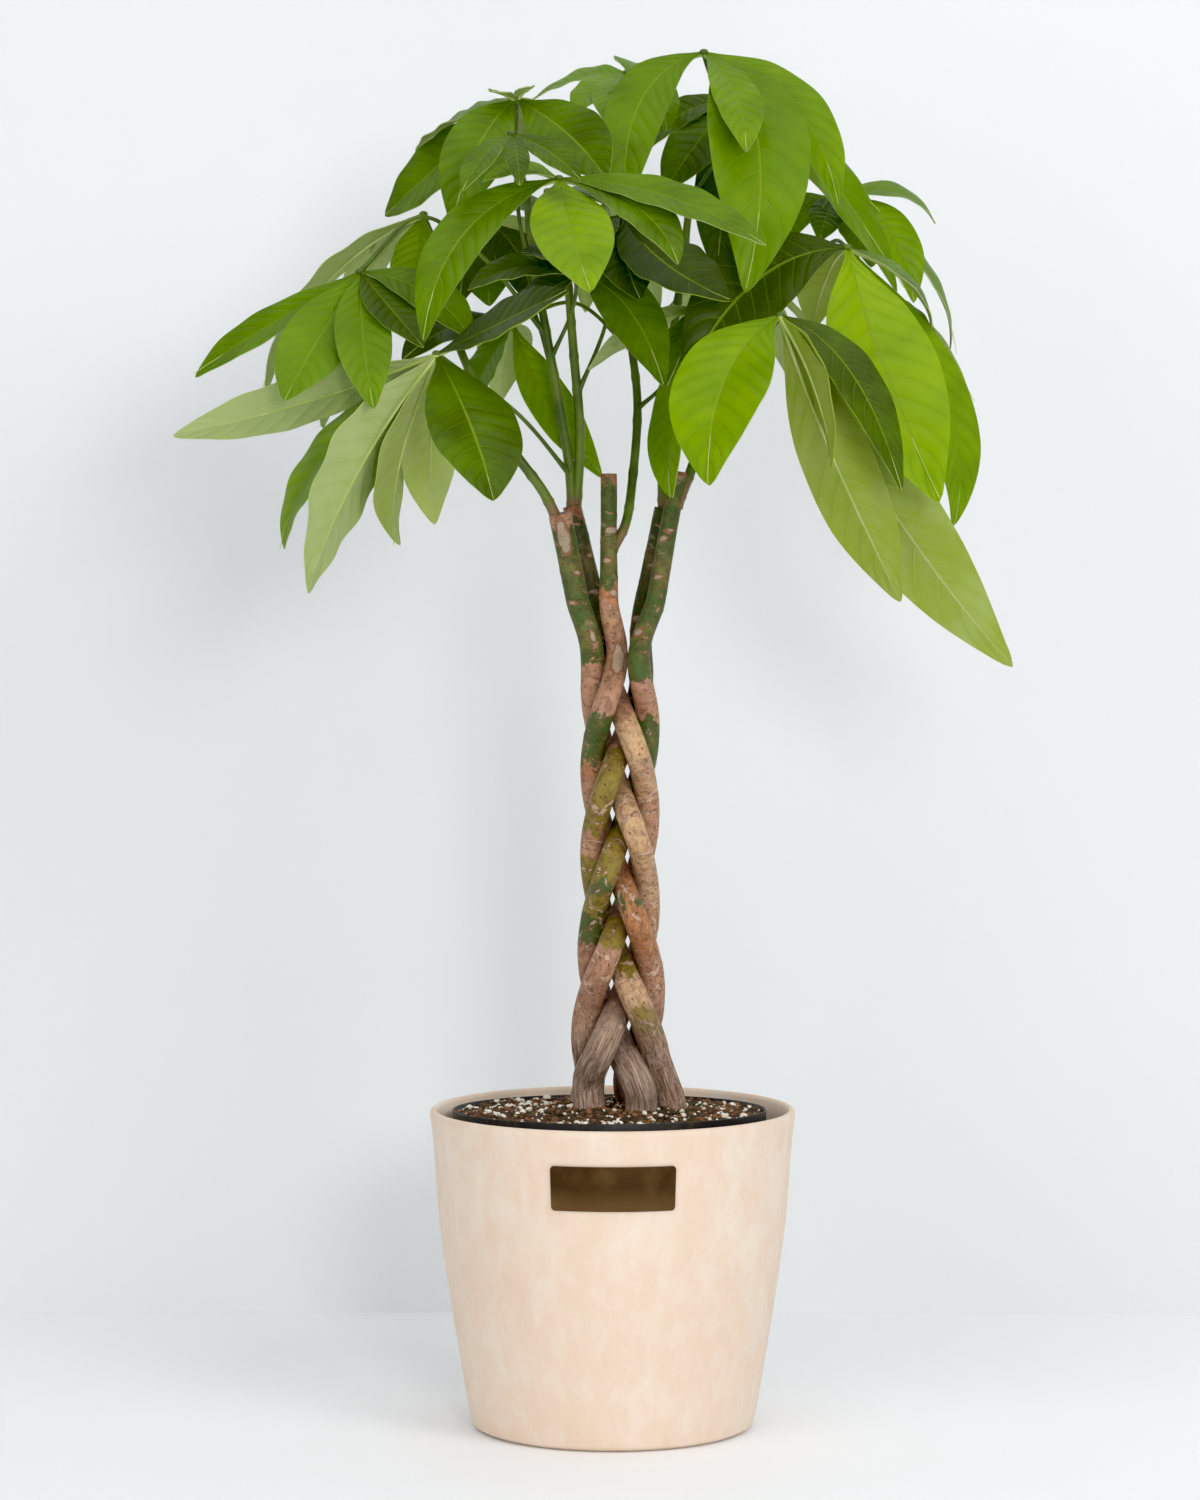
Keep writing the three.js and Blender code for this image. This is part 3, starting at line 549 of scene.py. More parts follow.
def tree_bark():
    """Green and corky zones with ragged edges, peeled patches, pores, and a fibrous foot."""
    surface = Surface("tree_bark")
    straight = surface.attribute("straight", "Vector")
    zone = surface.attribute("zone")
    fibre = surface.attribute("fibre")
    scar = surface.attribute("scar")
    ragged = surface.grain(straight, 62, 6, 0.62, 0.6)
    blotches = surface.grain(surface.mapped(straight, (1, 1, 1.3)), 82, 6, 0.64, 0.9)
    speckle = surface.grain(straight, 760, 3, 0.6)
    wrinkles = surface.grain(surface.mapped(straight, (1, 1, 6)), 105, 4, 0.62, 0.5)
    fissures = surface.grain(surface.mapped(straight, (1, 1, 0.13)), 640, 5, 0.72, 0.5)
    pores = surface.cells(surface.mapped(straight, (1, 1, 1.5)), 175)
    broad = surface.grain(surface.mapped(straight, (2.4, 2.4, 1)), 44, 3, 0.6, 0.6)
    share = surface.step(zone + (ragged - 0.5) * 26 + (broad - 0.5) * 34, -0.9, 0.9)
    wide = surface.step(surface.grain(straight, 52, 4, 0.66, 0.8), 0.46, 0.66)
    mottled = surface.step(surface.grain(straight, 190, 6, 0.78), 0.44, 0.62)
    young = surface.step(surface.axis(straight, "Z"), 0.34, 0.4)
    dapples = surface.step(surface.grain(straight, 120, 5, 0.7, 1.2), 0.52, 0.58)
    blotches = blotches - young * 0.045
    peeled = surface.step(blotches, 0.575, 0.59)
    rim = surface.step(blotches, 0.55, 0.575) - peeled
    worn = surface.step(ragged, 0.6, 0.66) * surface.step(speckle, 0.35, 0.65)
    pits = 1 - surface.step(pores + speckle * 0.35, 0.3, 0.4)
    lines = surface.step(wrinkles, 0.62, 0.7)
    depth = scar + (ragged - 0.5) * 1.6 + (speckle - 0.5) * 0.5
    healed = surface.step(depth, 0.5, 0.58) * surface.step(scar, 0.05, 0.3)
    ring = surface.step(depth, 0.15, 0.25) * surface.step(scar, 0, 0.05) - healed
    scaly = surface.mix(young, paint(210, 178, 154), paint(178, 132, 106))
    corky = surface.mix(speckle, paint(140, 110, 86), paint(206, 190, 168))
    ridges = surface.mix(surface.step(fissures, 0.36, 0.66), paint(114, 84, 66),
                         paint(214, 192, 172))
    color = surface.coats(
        surface.attribute("tint_even", "Color"),
        (share, surface.attribute("tint_odd", "Color")),
        (wide * 0.26, paint(186, 150, 92)),
        (mottled * 0.5, paint(92, 62, 44)),
        (dapples * (1 - young) * 0.45, paint(122, 84, 58)),
        (peeled * 0.75, scaly),
        (rim * 0.6, paint(92, 60, 42)),
        (worn * 0.4, paint(212, 186, 156)),
        (pits * 0.7, paint(88, 54, 36)),
        (lines * 0.45, paint(84, 60, 44)),
        (ring * 0.85, paint(150, 100, 74)),
        (healed * 0.85, corky),
        (fibre * 0.7, ridges),
    )
    relief = fissures * fibre * 1.6 + peeled * 0.25 + lines * 0.35 + ring * 0.6 - pits * 0.4
    normal = surface.bump(relief + speckle * 0.2, 0.8, 0.0011)
    roughness = 0.46 + fibre * 0.35 + peeled * 0.2 + speckle * 0.15
    return surface.skin(color, roughness, normal, Specular_IOR_Level=0.3)


def green_stem(name, dark, light):
    """Smooth green skin, yellower and paler in places."""
    surface = Surface(name)
    straight = surface.attribute("straight", "Vector")
    streaks = surface.grain(surface.mapped(straight, (1, 1, 0.2)), 300, 3)
    patches = surface.grain(surface.place(), 30, 3)
    color = surface.mix(surface.step(patches, 0.35, 0.7), dark, light)
    color = surface.mix(surface.attribute("woody"), color, paint(132, 100, 68))
    normal = surface.bump(streaks, 0.3, 0.0005)
    return surface.skin(color, 0.42 + streaks * 0.15, normal)


def vein_marks(surface):
    """Masks of the midrib and side veins, and the swelling between them."""
    uv = surface.node("ShaderNodeUVMap", uv_map="blade")
    side = abs(surface.axis(uv, "X") - 0.5) * 2
    phase = surface.axis(uv, "Y") * VEIN_PAIRS - (side ** VEIN_CURVE) * VEIN_LEAN
    away = phase.math("PINGPONG", 0.5)
    thin = (1 - side) * 0.03 + 0.02
    veins = (1 - surface.step(away / thin, 0.3, 1.6)) * (1 - surface.step(side, 0.7, 0.95))
    midrib = 1 - surface.step(side, 0.012, 0.05)
    swelling = surface.step(away, 0, 0.4)
    network = surface.cells(surface.place(), 520, "DISTANCE_TO_EDGE")
    return midrib, veins, swelling, 1 - surface.step(network, 0, 0.12)


def leaf_face(name, deep, bright, young, vein_color, vein_share, roughness, relief):
    """One face of a blade: veins, fine network and a partly painted shade, with light that comes
    through.
    """
    surface = Surface(name)
    midrib, veins, swelling, network = vein_marks(surface)
    # Each leaflet's shade is partly painted shade and light: low in shaded leaflets, high in lit
    # ones.
    shade = surface.attribute("shade")
    clouds = surface.grain(surface.place(), 30, 3)
    fine = surface.grain(surface.place(), 420, 2)
    # Painted shading: lighter on the quilted swellings, darker in the dips beside the side veins.
    share = shade + (clouds - 0.5) * 0.5 + (swelling - 0.5) * 0.05
    clear_of_veins = (1 - network * 0.16) * (1 - veins * vein_share) * (1 - midrib * 0.8)
    coats = (
        (surface.step(share, 0.1, 0.62), bright),
        (surface.step(share, 0.55, 1.0), young),
        (1 - clear_of_veins, vein_color),
    )
    height = swelling * relief * 0.7 - veins * relief * 0.6 - midrib * relief + network * 0.06
    normal = surface.bump(height + fine * 0.08, 0.6, 0.0012)
    skin = surface.finish(Base_Color=surface.coats(deep, *coats), Normal=normal,
                          Roughness=roughness + fine * 0.14, Specular_IOR_Level=0.28)

    def light_through(color):
        tint = [own * 0.65 + fresh * 0.35 for own, fresh in zip(color, young)]
        return surface.node("ShaderNodeBsdfTranslucent", {"Color": tint, "Normal": normal})

    light = light_through(deep)
    for share_above, color in coats:
        light = surface.blend(share_above, light, light_through(color))
    return surface.output(surface.blend(0.38, skin, light))


def studio_paint(name, color, roughness):
    """Faintly uneven paint of the studio's wall and floor, clear from the back."""
    surface = Surface(name)
    clouds = surface.grain(surface.place(), 1.3, 3)
    tone = surface.mix(clouds * 0.06, color, (0.6, 0.62, 0.64, 1))
    normal = surface.bump(surface.grain(surface.place(), 90, 3), 0.08, 0.001)
    painted = surface.finish(Base_Color=tone, Roughness=roughness, Normal=normal)
    clear = surface.node("ShaderNodeBsdfTransparent")
    back = surface.node("ShaderNodeNewGeometry", output="Backfacing")
    return surface.output(surface.blend(back, painted, clear))


def smooth_line(points):
    """A smooth line through the points, as a function of 0 to 1."""
    points = [Vector(point) for point in points]
    course = [2 * points[0] - points[1], *points, 2 * points[-1] - points[-2]]

    def at(share):
        place = min(max(share, 0), 1) * (len(points) - 1)
        piece = min(int(place), len(points) - 2)
        a, b, c, d = course[piece:piece + 4]
        before, between, after = (math.sqrt((q - p).length) for p, q in ((a, b), (b, c), (c, d)))
        leave = ((b - a) / before - (c - a) / (before + between) + (c - b) / between) * between
        arrive = ((c - b) / between - (d - b) / (between + after) + (d - c) / after) * between
        t = place - piece
        bend = -3 * b + 3 * c - 2 * leave - arrive
        close = 2 * b - 2 * c + leave + arrive
        return b + leave * t + bend * t ** 2 + close * t ** 3

    return at


def smoothstep(value, low, high):
    """0 below low, 1 above high and smooth between."""
    share = min(max((value - low) / (high - low), 0), 1)
    return share * share * (3 - 2 * share)


def frames_along(line, steps):
    """Places of a line, each with two directions across it that don't twist."""
    frames = []
    side = Vector((1, 0, 0))
    for step in range(steps + 1):
        share = step / steps
        tangent = (line(share + 0.004) - line(share - 0.004)).normalized()
        side = (side - tangent * side.dot(tangent)).normalized()
        frames.append((line(share), side, tangent.cross(side)))
    return frames


def tube(shape, frames, radius_at, sides, material=0):
    """Roll a grid into a closed tube; a radius of nothing at an end closes it."""
    steps = len(frames) - 1
    straight = shape.verts.layers.float_vector.get("straight")
    grid = bmesh.ops.create_grid(shape, x_segments=sides, y_segments=steps, size=1.0,
                                 calc_uvs=True)
    length = [0]
    for before, after in zip(frames, frames[1:]):
        length.append(length[-1] + (after[0] - before[0]).length)
    faces = {face for vertex in grid["verts"] for face in vertex.link_faces}
    for face in faces:
        face.material_index = material
    for vertex in grid["verts"]:
        turn = math.pi * (vertex.co.x + 1)
        station = round((vertex.co.y + 1) / 2 * steps)
        place, across, over = frames[station]
        outward = across * math.cos(turn) + over * math.sin(turn)
        radius = radius_at(station, turn)
        vertex.co = place + outward * radius
        if straight:
            vertex[straight] = (math.cos(turn) * radius, math.sin(turn) * radius, length[station])
    bmesh.ops.remove_doubles(shape, verts=grid["verts"], dist=WELD)


def lathe(shape, profile, steps):
    """Spin a profile of radius and height around the upright axis."""
    points = [shape.verts.new((radius, 0, height)) for radius, height in profile]
    edges = [shape.edges.new(pair) for pair in zip(points, points[1:])]
    bmesh.ops.spin(shape, geom=points + edges, cent=(0, 0, 0), axis=(0, 0, 1), angle=math.tau,
                   steps=steps, use_merge=True)
    bmesh.ops.remove_doubles(shape, verts=shape.verts, dist=WELD)
    bmesh.ops.recalc_face_normals(shape, faces=shape.faces)


def soften(shape, angle, width):
    """Round the edges that are sharper than an angle."""
    sharp = [edge for edge in shape.edges if edge.calc_face_angle(0) > angle]
    bmesh.ops.bevel(shape, geom=sharp, offset=width, affect="EDGES", segments=3, profile=0.5,
                    material=-1, clamp_overlap=True)


def finished(name, shape, materials, slot, *nodes, sharp=math.radians(50)):
    """Make an object of a shape, and let it stand for CAD nodes."""
    data = bpy.data.meshes.new(name)
    shape.to_mesh(data)
    shape.free()
    data.polygons.foreach_set("use_smooth", [True] * len(data.polygons))
    data.set_sharp_from_angle(angle=sharp)
    piece = bpy.data.objects.new(name, data)
    bpy.context.scene.collection.objects.link(piece)
    for material in materials:
        data.materials.append(material)
    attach(piece, "root")
    if nodes:
        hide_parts(*nodes)
    return piece


def cover_radius(height):
    """Outer radius of the cover pot at a height in metres."""
    level = height / MM
    for (low_radius, low), (high_radius, high) in zip(COVER_PROFILE, COVER_PROFILE[1:]):
        if level <= high:
            return MM * (low_radius + (high_radius - low_radius) * (level - low) / (high - low))
    return COVER_PROFILE[-1][0] * MM


def lean(shape):
    """Lean a shape as the grow pot leans, about the back of its base."""
    bmesh.ops.rotate(shape, verts=shape.verts, cent=(0, 0, 0),
                     matrix=Matrix.Rotation(-GROW_TILT, 3, "X"))
    lift = COVER_FLOOR + GROW_GAP + GROW_BASE * math.sin(GROW_TILT)
    bmesh.ops.translate(shape, verts=shape.verts, vec=(GROW_CENTRE_X, 0, lift))


def soil_level(radius):
    """Height of the soil in the grow pot's own frame, without its lumps."""
    share = radius / SOIL_EDGE
    mound = SOIL_MOUND * (1 - smoothstep(share, 0.2, 0.72))
    return GROW_HEIGHT - SOIL_BELOW_RIM + mound - 1.2 * MM * smoothstep(share, 0.9, 1)


def soil_lumps(x, y):
    """Unevenness of the soil at a place in metres."""
    place = Vector((x, y, 0))
    return MM * sum(height * noise.noise(place * scale) for height, scale in SOIL_LUMPS)


def trunk_radius(height, top_radius):
    """Radius of a trunk at a height, in millimetres: stout at the foot, slim in the crown."""
    stout = TRUNK_STOUTER * (1 - smoothstep(height, *STOUT_HEIGHTS))
    slimmer = (BRAID_STRAND_RADIUS - top_radius) * smoothstep(height, *SLIM_HEIGHTS)
    return BRAID_STRAND_RADIUS + stout - slimmer


def trunk_place(trunk, height):
    """Centre of a trunk at a height, in millimetres."""
    turn = 1.5 * math.pi + math.tau * (height - trunk["middle"]) / BRAID_PERIOD
    strand = trunk_radius(height, BRAID_STRAND_RADIUS)
    place = Vector((
        BRAID_CENTRE_X + BRAID_HALF_WIDTH * strand * math.cos(turn),
        BRAID_LAG * math.sin(4 * turn) - BRAID_HALF_DEPTH * strand * math.sin(2 * turn),
        height,
    ))
    place = place.lerp(Vector((*trunk["root"], height)), 1 - smoothstep(height, *BRAID_ROOTS))
    rise = (height - BRAID_CROWN[1]) / (trunk["top"][2] - BRAID_CROWN[1])
    crown = Vector((*trunk["crown"], height)).lerp(Vector((*trunk["top"][:2], height)), rise)
    return place.lerp(crown, smoothstep(height, *BRAID_CROWN))


def zone_at(shades, height):
    """Shades of the nearest even and odd zones, and millimetres into the odd one."""
    starts = [start for start, _ in shades]
    zone = max(number for number, start in enumerate(starts) if start <= height or number == 0)
    below = height - starts[zone]
    above = starts[zone + 1] - height if zone + 1 < len(shades) else math.inf
    beside = zone - 1 if below < above else zone + 1
    inside = min(below, above)
    if zone == 0:
        beside, inside = 1, above
    pair = (zone, beside) if zone % 2 == 0 else (beside, zone)
    return shades[pair[0]][1], shades[pair[1]][1], inside if zone % 2 else -inside


def scar_at(scars, vertex_height, turn):
    """How deep inside one of the oval scars a place lies, from 0 to 1."""
    depth = 0
    for height, facing, tall, wide in scars:
        away = (turn - math.radians(facing) + math.pi) % math.tau - math.pi
        reach = ((vertex_height - height) / tall) ** 2 + (away / math.radians(wide)) ** 2
        depth = max(depth, 1 - reach)
    return depth


def add_trunk(shape, trunk, layers):
    """One trunk with lumps, ring scars, a fissured foot and a cut top."""
    top = trunk["top"][2]
    heights = [TRUNK_FOOT_Z + (top - TRUNK_FOOT_Z) * step / TRUNK_STEPS
               for step in range(TRUNK_STEPS + 1)]
    span = top - TRUNK_FOOT_Z
    frames = frames_along(
        lambda share: trunk_place(trunk, TRUNK_FOOT_Z + share * span) * MM, TRUNK_STEPS)
    rim = frames[-1]
    cut = [(1.0, 0.4), (0.93, 0.9), (0.7, 0.5), (0.4, 0.6), (0, 0.3)]
    for _, lift in cut:
        frames.append((rim[0] + UP * lift * MM, rim[1], rim[2]))
    foot = frames[0]
    frames.insert(0, foot)

    def radius_at(station, turn):
        step = station - 1
        if step < 0:
            return 0
        if step > TRUNK_STEPS:
            return trunk_radius(top, trunk["radius"]) * cut[step - TRUNK_STEPS - 1][0] * 0.97 * MM
        height = heights[step]
        around = Vector((math.cos(turn), math.sin(turn), 0))
        seed = Vector((trunk["middle"], 0, 0))
        lumps = noise.noise(around * 1.3 + UP * height / 22 + seed) * 0.35
        fibre = 1 - smoothstep(height, *FIBRE_HEIGHTS)
        ridges = noise.noise(around * 5 + UP * height / 60 + seed) * 0.5 * fibre
        rings = max(0, noise.noise(UP * height / 4.5 + around * 0.5 + seed) - 0.25) * 0.6
        swell = lumps + ridges + rings * (1 - fibre)
        return (trunk_radius(height, trunk["radius"]) * 0.965 + swell) * MM

    start = len(shape.verts)
    tube(shape, frames, radius_at, TRUNK_SIDES)
    shape.verts.ensure_lookup_table()
    for vertex in list(shape.verts)[start:]:
        height = vertex.co.z / MM
        around = vertex.co * 45
        ragged = height + 9 * noise.noise(around) + 4 * noise.noise(around * 3)
        even, odd, zone = zone_at(trunk["shades"], height)
        vertex[layers["tint_even"]] = even
        vertex[layers["tint_odd"]] = odd
        vertex[layers["zone"]] = min(max(zone, -40), 40)
        vertex[layers["fibre"]] = 1 - smoothstep(ragged, *FIBRE_SHADE_HEIGHTS)
        middle = trunk_place(trunk, height) * MM
        turn = math.atan2(vertex.co.x - middle.x, middle.y - vertex.co.y)
        vertex[layers["scar"]] = scar_at(trunk["scars"], height, turn)


def add_stem(shape, line, radius_at, mesh, material, tip=0.6):
    """A stem along a line, rounded at its far end and closed flat at its start."""
    steps, sides = mesh
    frames = frames_along(line, steps)
    first, last = frames[0], frames[-1]
    axis = last[1].cross(last[2])
    rounding = [(0.92, 0.35), (0.6, 0.75), (0, 1)]
    radii = [radius_at(step / steps) for step in range(steps + 1)]
    end_radii = []
    for part, reach in rounding:
        frames.append((last[0] + axis * radii[-1] * reach * tip, last[1], last[2]))
        end_radii.append(radii[-1] * part)
    frames.insert(0, first)
    radii = [0, *radii, *end_radii]
    tube(shape, frames, lambda station, turn: radii[station], sides, material)


def fan_leaflets(leaf):
    """Leaflets spread evenly over a fan, the outer ones shorter."""
    hub = leaf["petiole"][-1]
    rows = []
    for number in range(leaf["count"]):
        share = number / (leaf["count"] - 1) - 0.5
        odd = number % 2
        bearing = math.radians(leaf["bearing"] + share * FAN_SPREAD)
        length = leaf["length"] * (1 - 0.5 * abs(share) - 0.06 * odd)
        tip = (hub[0] + length * FAN_REACH * math.cos(bearing),
               hub[1] + length * FAN_REACH * math.sin(bearing),
               hub[2] - length * (FAN_DROP + 0.12 * odd))
        rows.append((*tip, length * FAN_WIDTH, 0, length * FAN_RISE, 0, 0.35 + 0.15 * odd))
    return rows


def rib_radius(share):
    """Stout at the hub and fine at the tip."""
    return (1.5 * max(1 - share, 0) ** 1.6 + 0.25) * MM


class LeafletLine:
    """Centre line of a leaflet from the hub to its tip, with the blade's directions."""

    def __init__(self, hub, row):
        x, y, z, self.width, roll, rise, bow, self.shade = row
        self.hub = Vector(hub)
        self.tip = Vector((x, y, z))
        self.middle = self.hub.lerp(self.tip, 0.5) + Vector((bow, 0, rise))
        self.heading = Vector((x - hub[0], y - hub[1], 0)).normalized()
        self.roll = math.radians(roll)
        self.length = (self.middle - self.hub).length + (self.tip - self.middle).length

    def place(self, t):
        """Point of the line, a curve that its middle pulls, at t from 0 to 1."""
        return (self.hub * (1 - t) ** 2 + self.middle * 2 * t * (1 - t) + self.tip * t ** 2) * MM

    def directions(self, t, twist=0):
        """Direction across the blade, and its normal, rolled towards the front."""
        tangent = ((self.middle - self.hub) * (1 - t) + (self.tip - self.middle) * t).normalized()
        level = self.heading.cross(UP).normalized()
        turned = -1 if level.dot(FRONT) < 0 else 1
        level *= turned
        face = level.cross(tangent).normalized() * turned
        roll = self.roll + twist
        normal = (face * math.cos(roll) + level * math.sin(roll)).normalized()
        return tangent.cross(normal).normalized(), normal

    def rib(self, share):
        """Centre line of the rib under the blade."""
        _, normal = self.directions(share)
        return self.place(share) - normal * (0.8 * rib_radius(share) + 0.35 * MM)


OUTLINE_LINE = smooth_line([(at, width, 0) for at, width in OUTLINE])


def outline_width(along):
    """Share of the greatest width at a share of the length."""
    low, high = 0.0, 1.0
    for _ in range(18):
        middle = (low + high) / 2
        if OUTLINE_LINE(middle).x < along:
            low = middle
        else:
            high = middle
    return max(OUTLINE_LINE(low).y, 0.01)


def add_blade(shape, line, chance, settings, layers):
    """One blade: folded at its midrib, quilted between its veins and wavy at its edge."""
    waves = chance.uniform(2.5, 5)
    phases = (chance.uniform(0, math.tau), chance.uniform(0, math.tau))
    twist = math.radians(chance.uniform(-BLADE_TWIST, BLADE_TWIST))
    sag = chance.uniform(0.0, BLADE_SAG) * line.length * MM
    wavy = settings.wave * chance.uniform(0.5, 1.3)
    start = 2.0 / line.length
    grid = bmesh.ops.create_grid(shape, x_segments=BLADE_COLUMNS, y_segments=BLADE_ROWS, size=1.0,
                                 calc_uvs=True)
    stations = {}
    for vertex in grid["verts"]:
        across, along = vertex.co.x, (vertex.co.y + 1) / 2
        step = round(along * BLADE_ROWS)
        if step not in stations:
            at = start + (1 - start) * along
            side, normal = line.directions(at, twist * (at - 0.4))
            stations[step] = (line.place(at), side, normal, outline_width(at) * line.width / 2)
        place, side, normal, half = stations[step]
        half *= MM
        edge = abs(across)
        phase = phases[0] if across > 0 else phases[1]
        lift = half * (BLADE_FOLD * edge - BLADE_FLATTENED * edge ** 2)
        lift += half * wavy * edge ** 3 * math.sin(math.tau * waves * along + phase)
        vein_phase = along * VEIN_PAIRS - VEIN_LEAN * edge ** VEIN_CURVE
        between = abs(vein_phase % 1 - 0.5) * 2
        lift += settings.quilt * (1 - between ** 2) * edge * (1 - edge ** 3) * min(1, half / 0.01)
        lift -= sag * max(0, (along - 0.72) / 0.28) ** 2
        vertex.co = place + side * across * half + normal * lift
        vertex[layers["shade"]] = line.shade
    faces = {face for vertex in grid["verts"] for face in vertex.link_faces}
    shape.normal_update()
    bmesh.ops.solidify(shape, geom=list(faces), thickness=settings.thickness)
    return faces


def petiole_radius(share):
    """Thicker at the foot and under the hub."""
    return (1.55 + 1.0 * (1 - share) ** 9 + 0.8 * share ** 14) * MM


def add_leaf(shape, leaf, rows, chance, settings, layers):
    """Blades with ribs underneath, the hub and the petiole."""
    hub = leaf["petiole"][-1]
    upper = set()
    lines = [LeafletLine(hub, row) for row in rows]
    for line in lines:
        upper |= add_blade(shape, line, chance, settings, layers)
    for face in shape.faces:
        face.material_index = UPPER if face in upper else UNDER
    for line in lines:
        add_stem(shape, line.rib, rib_radius, RIB_MESH, RIB)
    knob = bmesh.ops.create_uvsphere(shape, u_segments=14, v_segments=8, radius=HUB_RADIUS)["verts"]
    bmesh.ops.scale(shape, vec=(1, 1, 0.75), verts=knob)
    bmesh.ops.translate(shape, verts=knob, vec=Vector(hub) * MM)
    for face in {face for vertex in knob for face in vertex.link_faces}:
        face.material_index = STEM
    petiole = smooth_line([Vector(point) * MM for point in leaf["petiole"]])
    add_stem(shape, petiole, petiole_radius, PETIOLE_MESH, STEM)


def scattered(chance):
    """A random place on the soil, in the grow pot's own frame, that is clear of the trunks."""
    feet = [Vector((trunk["root"][0] * MM - GROW_CENTRE_X, trunk["root"][1] * MM, 0))
            for trunk in TRUNKS]
    while True:
        radius = GRAIN_FIELD * math.sqrt(chance.random())
        turn = chance.uniform(0, math.tau)
        place = Vector((radius * math.cos(turn), radius * math.sin(turn), 0))
        if all((place - foot).length > GRAIN_CLEARANCE for foot in feet):
            return place


def add_grains(shape, chance, count, sizes, subdivisions, flatness, sunk):
    """Irregular grains that lie on the soil."""
    for _ in range(count):
        size = (sizes[0] + (sizes[1] - sizes[0]) * chance.random() ** 2) * MM
        grain = bmesh.ops.create_icosphere(shape, subdivisions=subdivisions, radius=size)["verts"]
        shift = Vector((chance.random(), chance.random(), chance.random())) * 90
        for vertex in grain:
            vertex.co *= 1 + 0.38 * noise.noise(vertex.co / size * 1.1 + shift)
        spread = (chance.uniform(0.7, 1.25), chance.uniform(0.7, 1.25), flatness)
        bmesh.ops.scale(shape, vec=spread, verts=grain)
        tilt = Matrix.Rotation(chance.uniform(-0.6, 0.6), 3, "X")
        turn = Matrix.Rotation(chance.uniform(0, math.tau), 3, "Z")
        bmesh.ops.rotate(shape, verts=grain, cent=(0, 0, 0), matrix=turn @ tilt)
        place = scattered(chance)
        place.z = soil_level(place.length) + soil_lumps(place.x, place.y) + size * sunk
        bmesh.ops.translate(shape, verts=grain, vec=place)


def shade(name, description, color):
    """A setting for a colour."""
    return bpy.props.FloatVectorProperty(
        name=name, description=description, subtype="COLOR", size=4, default=color)


def measure(name, description, metres):
    """A setting for a length."""
    return bpy.props.FloatProperty(
        name=name, description=description, unit="LENGTH", default=metres)


class PotSettings(bpy.types.PropertyGroup):
    """Shades of the cover pot and its plate."""

    cream: shade("Cream", "Ground shade of the cover pot", paint(233, 208, 185))
    # The light cream also carries the painted sheen on the pot's left and right flanks.
    cream_pale_and_side_sheen: shade("Light cream", "Shade of the pot's clouds and streaks", paint(240, 227, 212))
    bronze: shade("Bronze", "Ground shade of the plate", paint(64, 45, 26))
    # The light bronze also carries the painted highlight along the plate's lower edge.
    bronze_pale_and_edge_highlight: shade("Light bronze", "Shade of the plate's brushed places", paint(122, 94, 60))
    rim: measure("Rim radius", "Outer radius of the cover pot's rim", (POT_HIGH.x - POT_LOW.x) / 2)


class SoilSettings(bpy.types.PropertyGroup):
    """What lies on the soil."""

    perlite: bpy.props.IntProperty(
        name="Perlite grains", description="Number of white grains", default=420)
    chips: bpy.props.IntProperty(
        name="Bark crumbs", description="Number of brown crumbs", default=1900)


class LeafSettings(bpy.types.PropertyGroup):
    """Form and shades of the leaves and stems."""

    thickness: measure("Blade thickness", "Thickness of a blade", 0.0007)
    wave: bpy.props.FloatProperty(
        name="Edge wave", description="Height of the edge's waves as a share of the half width",
        default=0.04)
    quilt: measure("Quilting", "Rise of the blade between its side veins", 0.0003)
    # Deep, bright and young green are picked by each leaflet's shade, partly painted shade and
    # light.
    deep: shade("Deep green", "Shade of old blades", paint(62, 80, 6))
    bright: shade("Bright green", "Shade of full-grown blades", paint(113, 150, 6))
    young: shade("Young green", "Shade of young blades and of light that comes through",
                 paint(158, 191, 8))
    under: shade("Underside", "Shade of the undersides", paint(204, 218, 150))
    stem: shade("Stem", "Shade of shoots and petioles", paint(70, 92, 20))
    stem_light: shade("Light stem", "Paler shade of shoots and petioles", paint(112, 134, 40))


class StageSettings(bpy.types.PropertyGroup):
    """The pale studio and the view of the photograph."""

    camera_place: bpy.props.FloatVectorProperty(
        name="Camera", description="Place of the camera", subtype="XYZ", unit="LENGTH", size=3,
        default=(-0.00969, -3.4323, 0.6899))
    camera_pitch: bpy.props.FloatProperty(
        name="Pitch", description="How far the camera looks down", subtype="ANGLE",
        default=0.0496)
    lens: bpy.props.FloatProperty(
        name="Lens", description="Focal length in millimetres", default=108)
    wall_distance: measure("Wall", "Distance of the wall behind the pot's middle", 0.496)
    wall: shade("Wall shade", "Shade of the wall", paint(235, 237, 239))
    floor: shade("Floor shade", "Shade of the floor", paint(251, 253, 255))


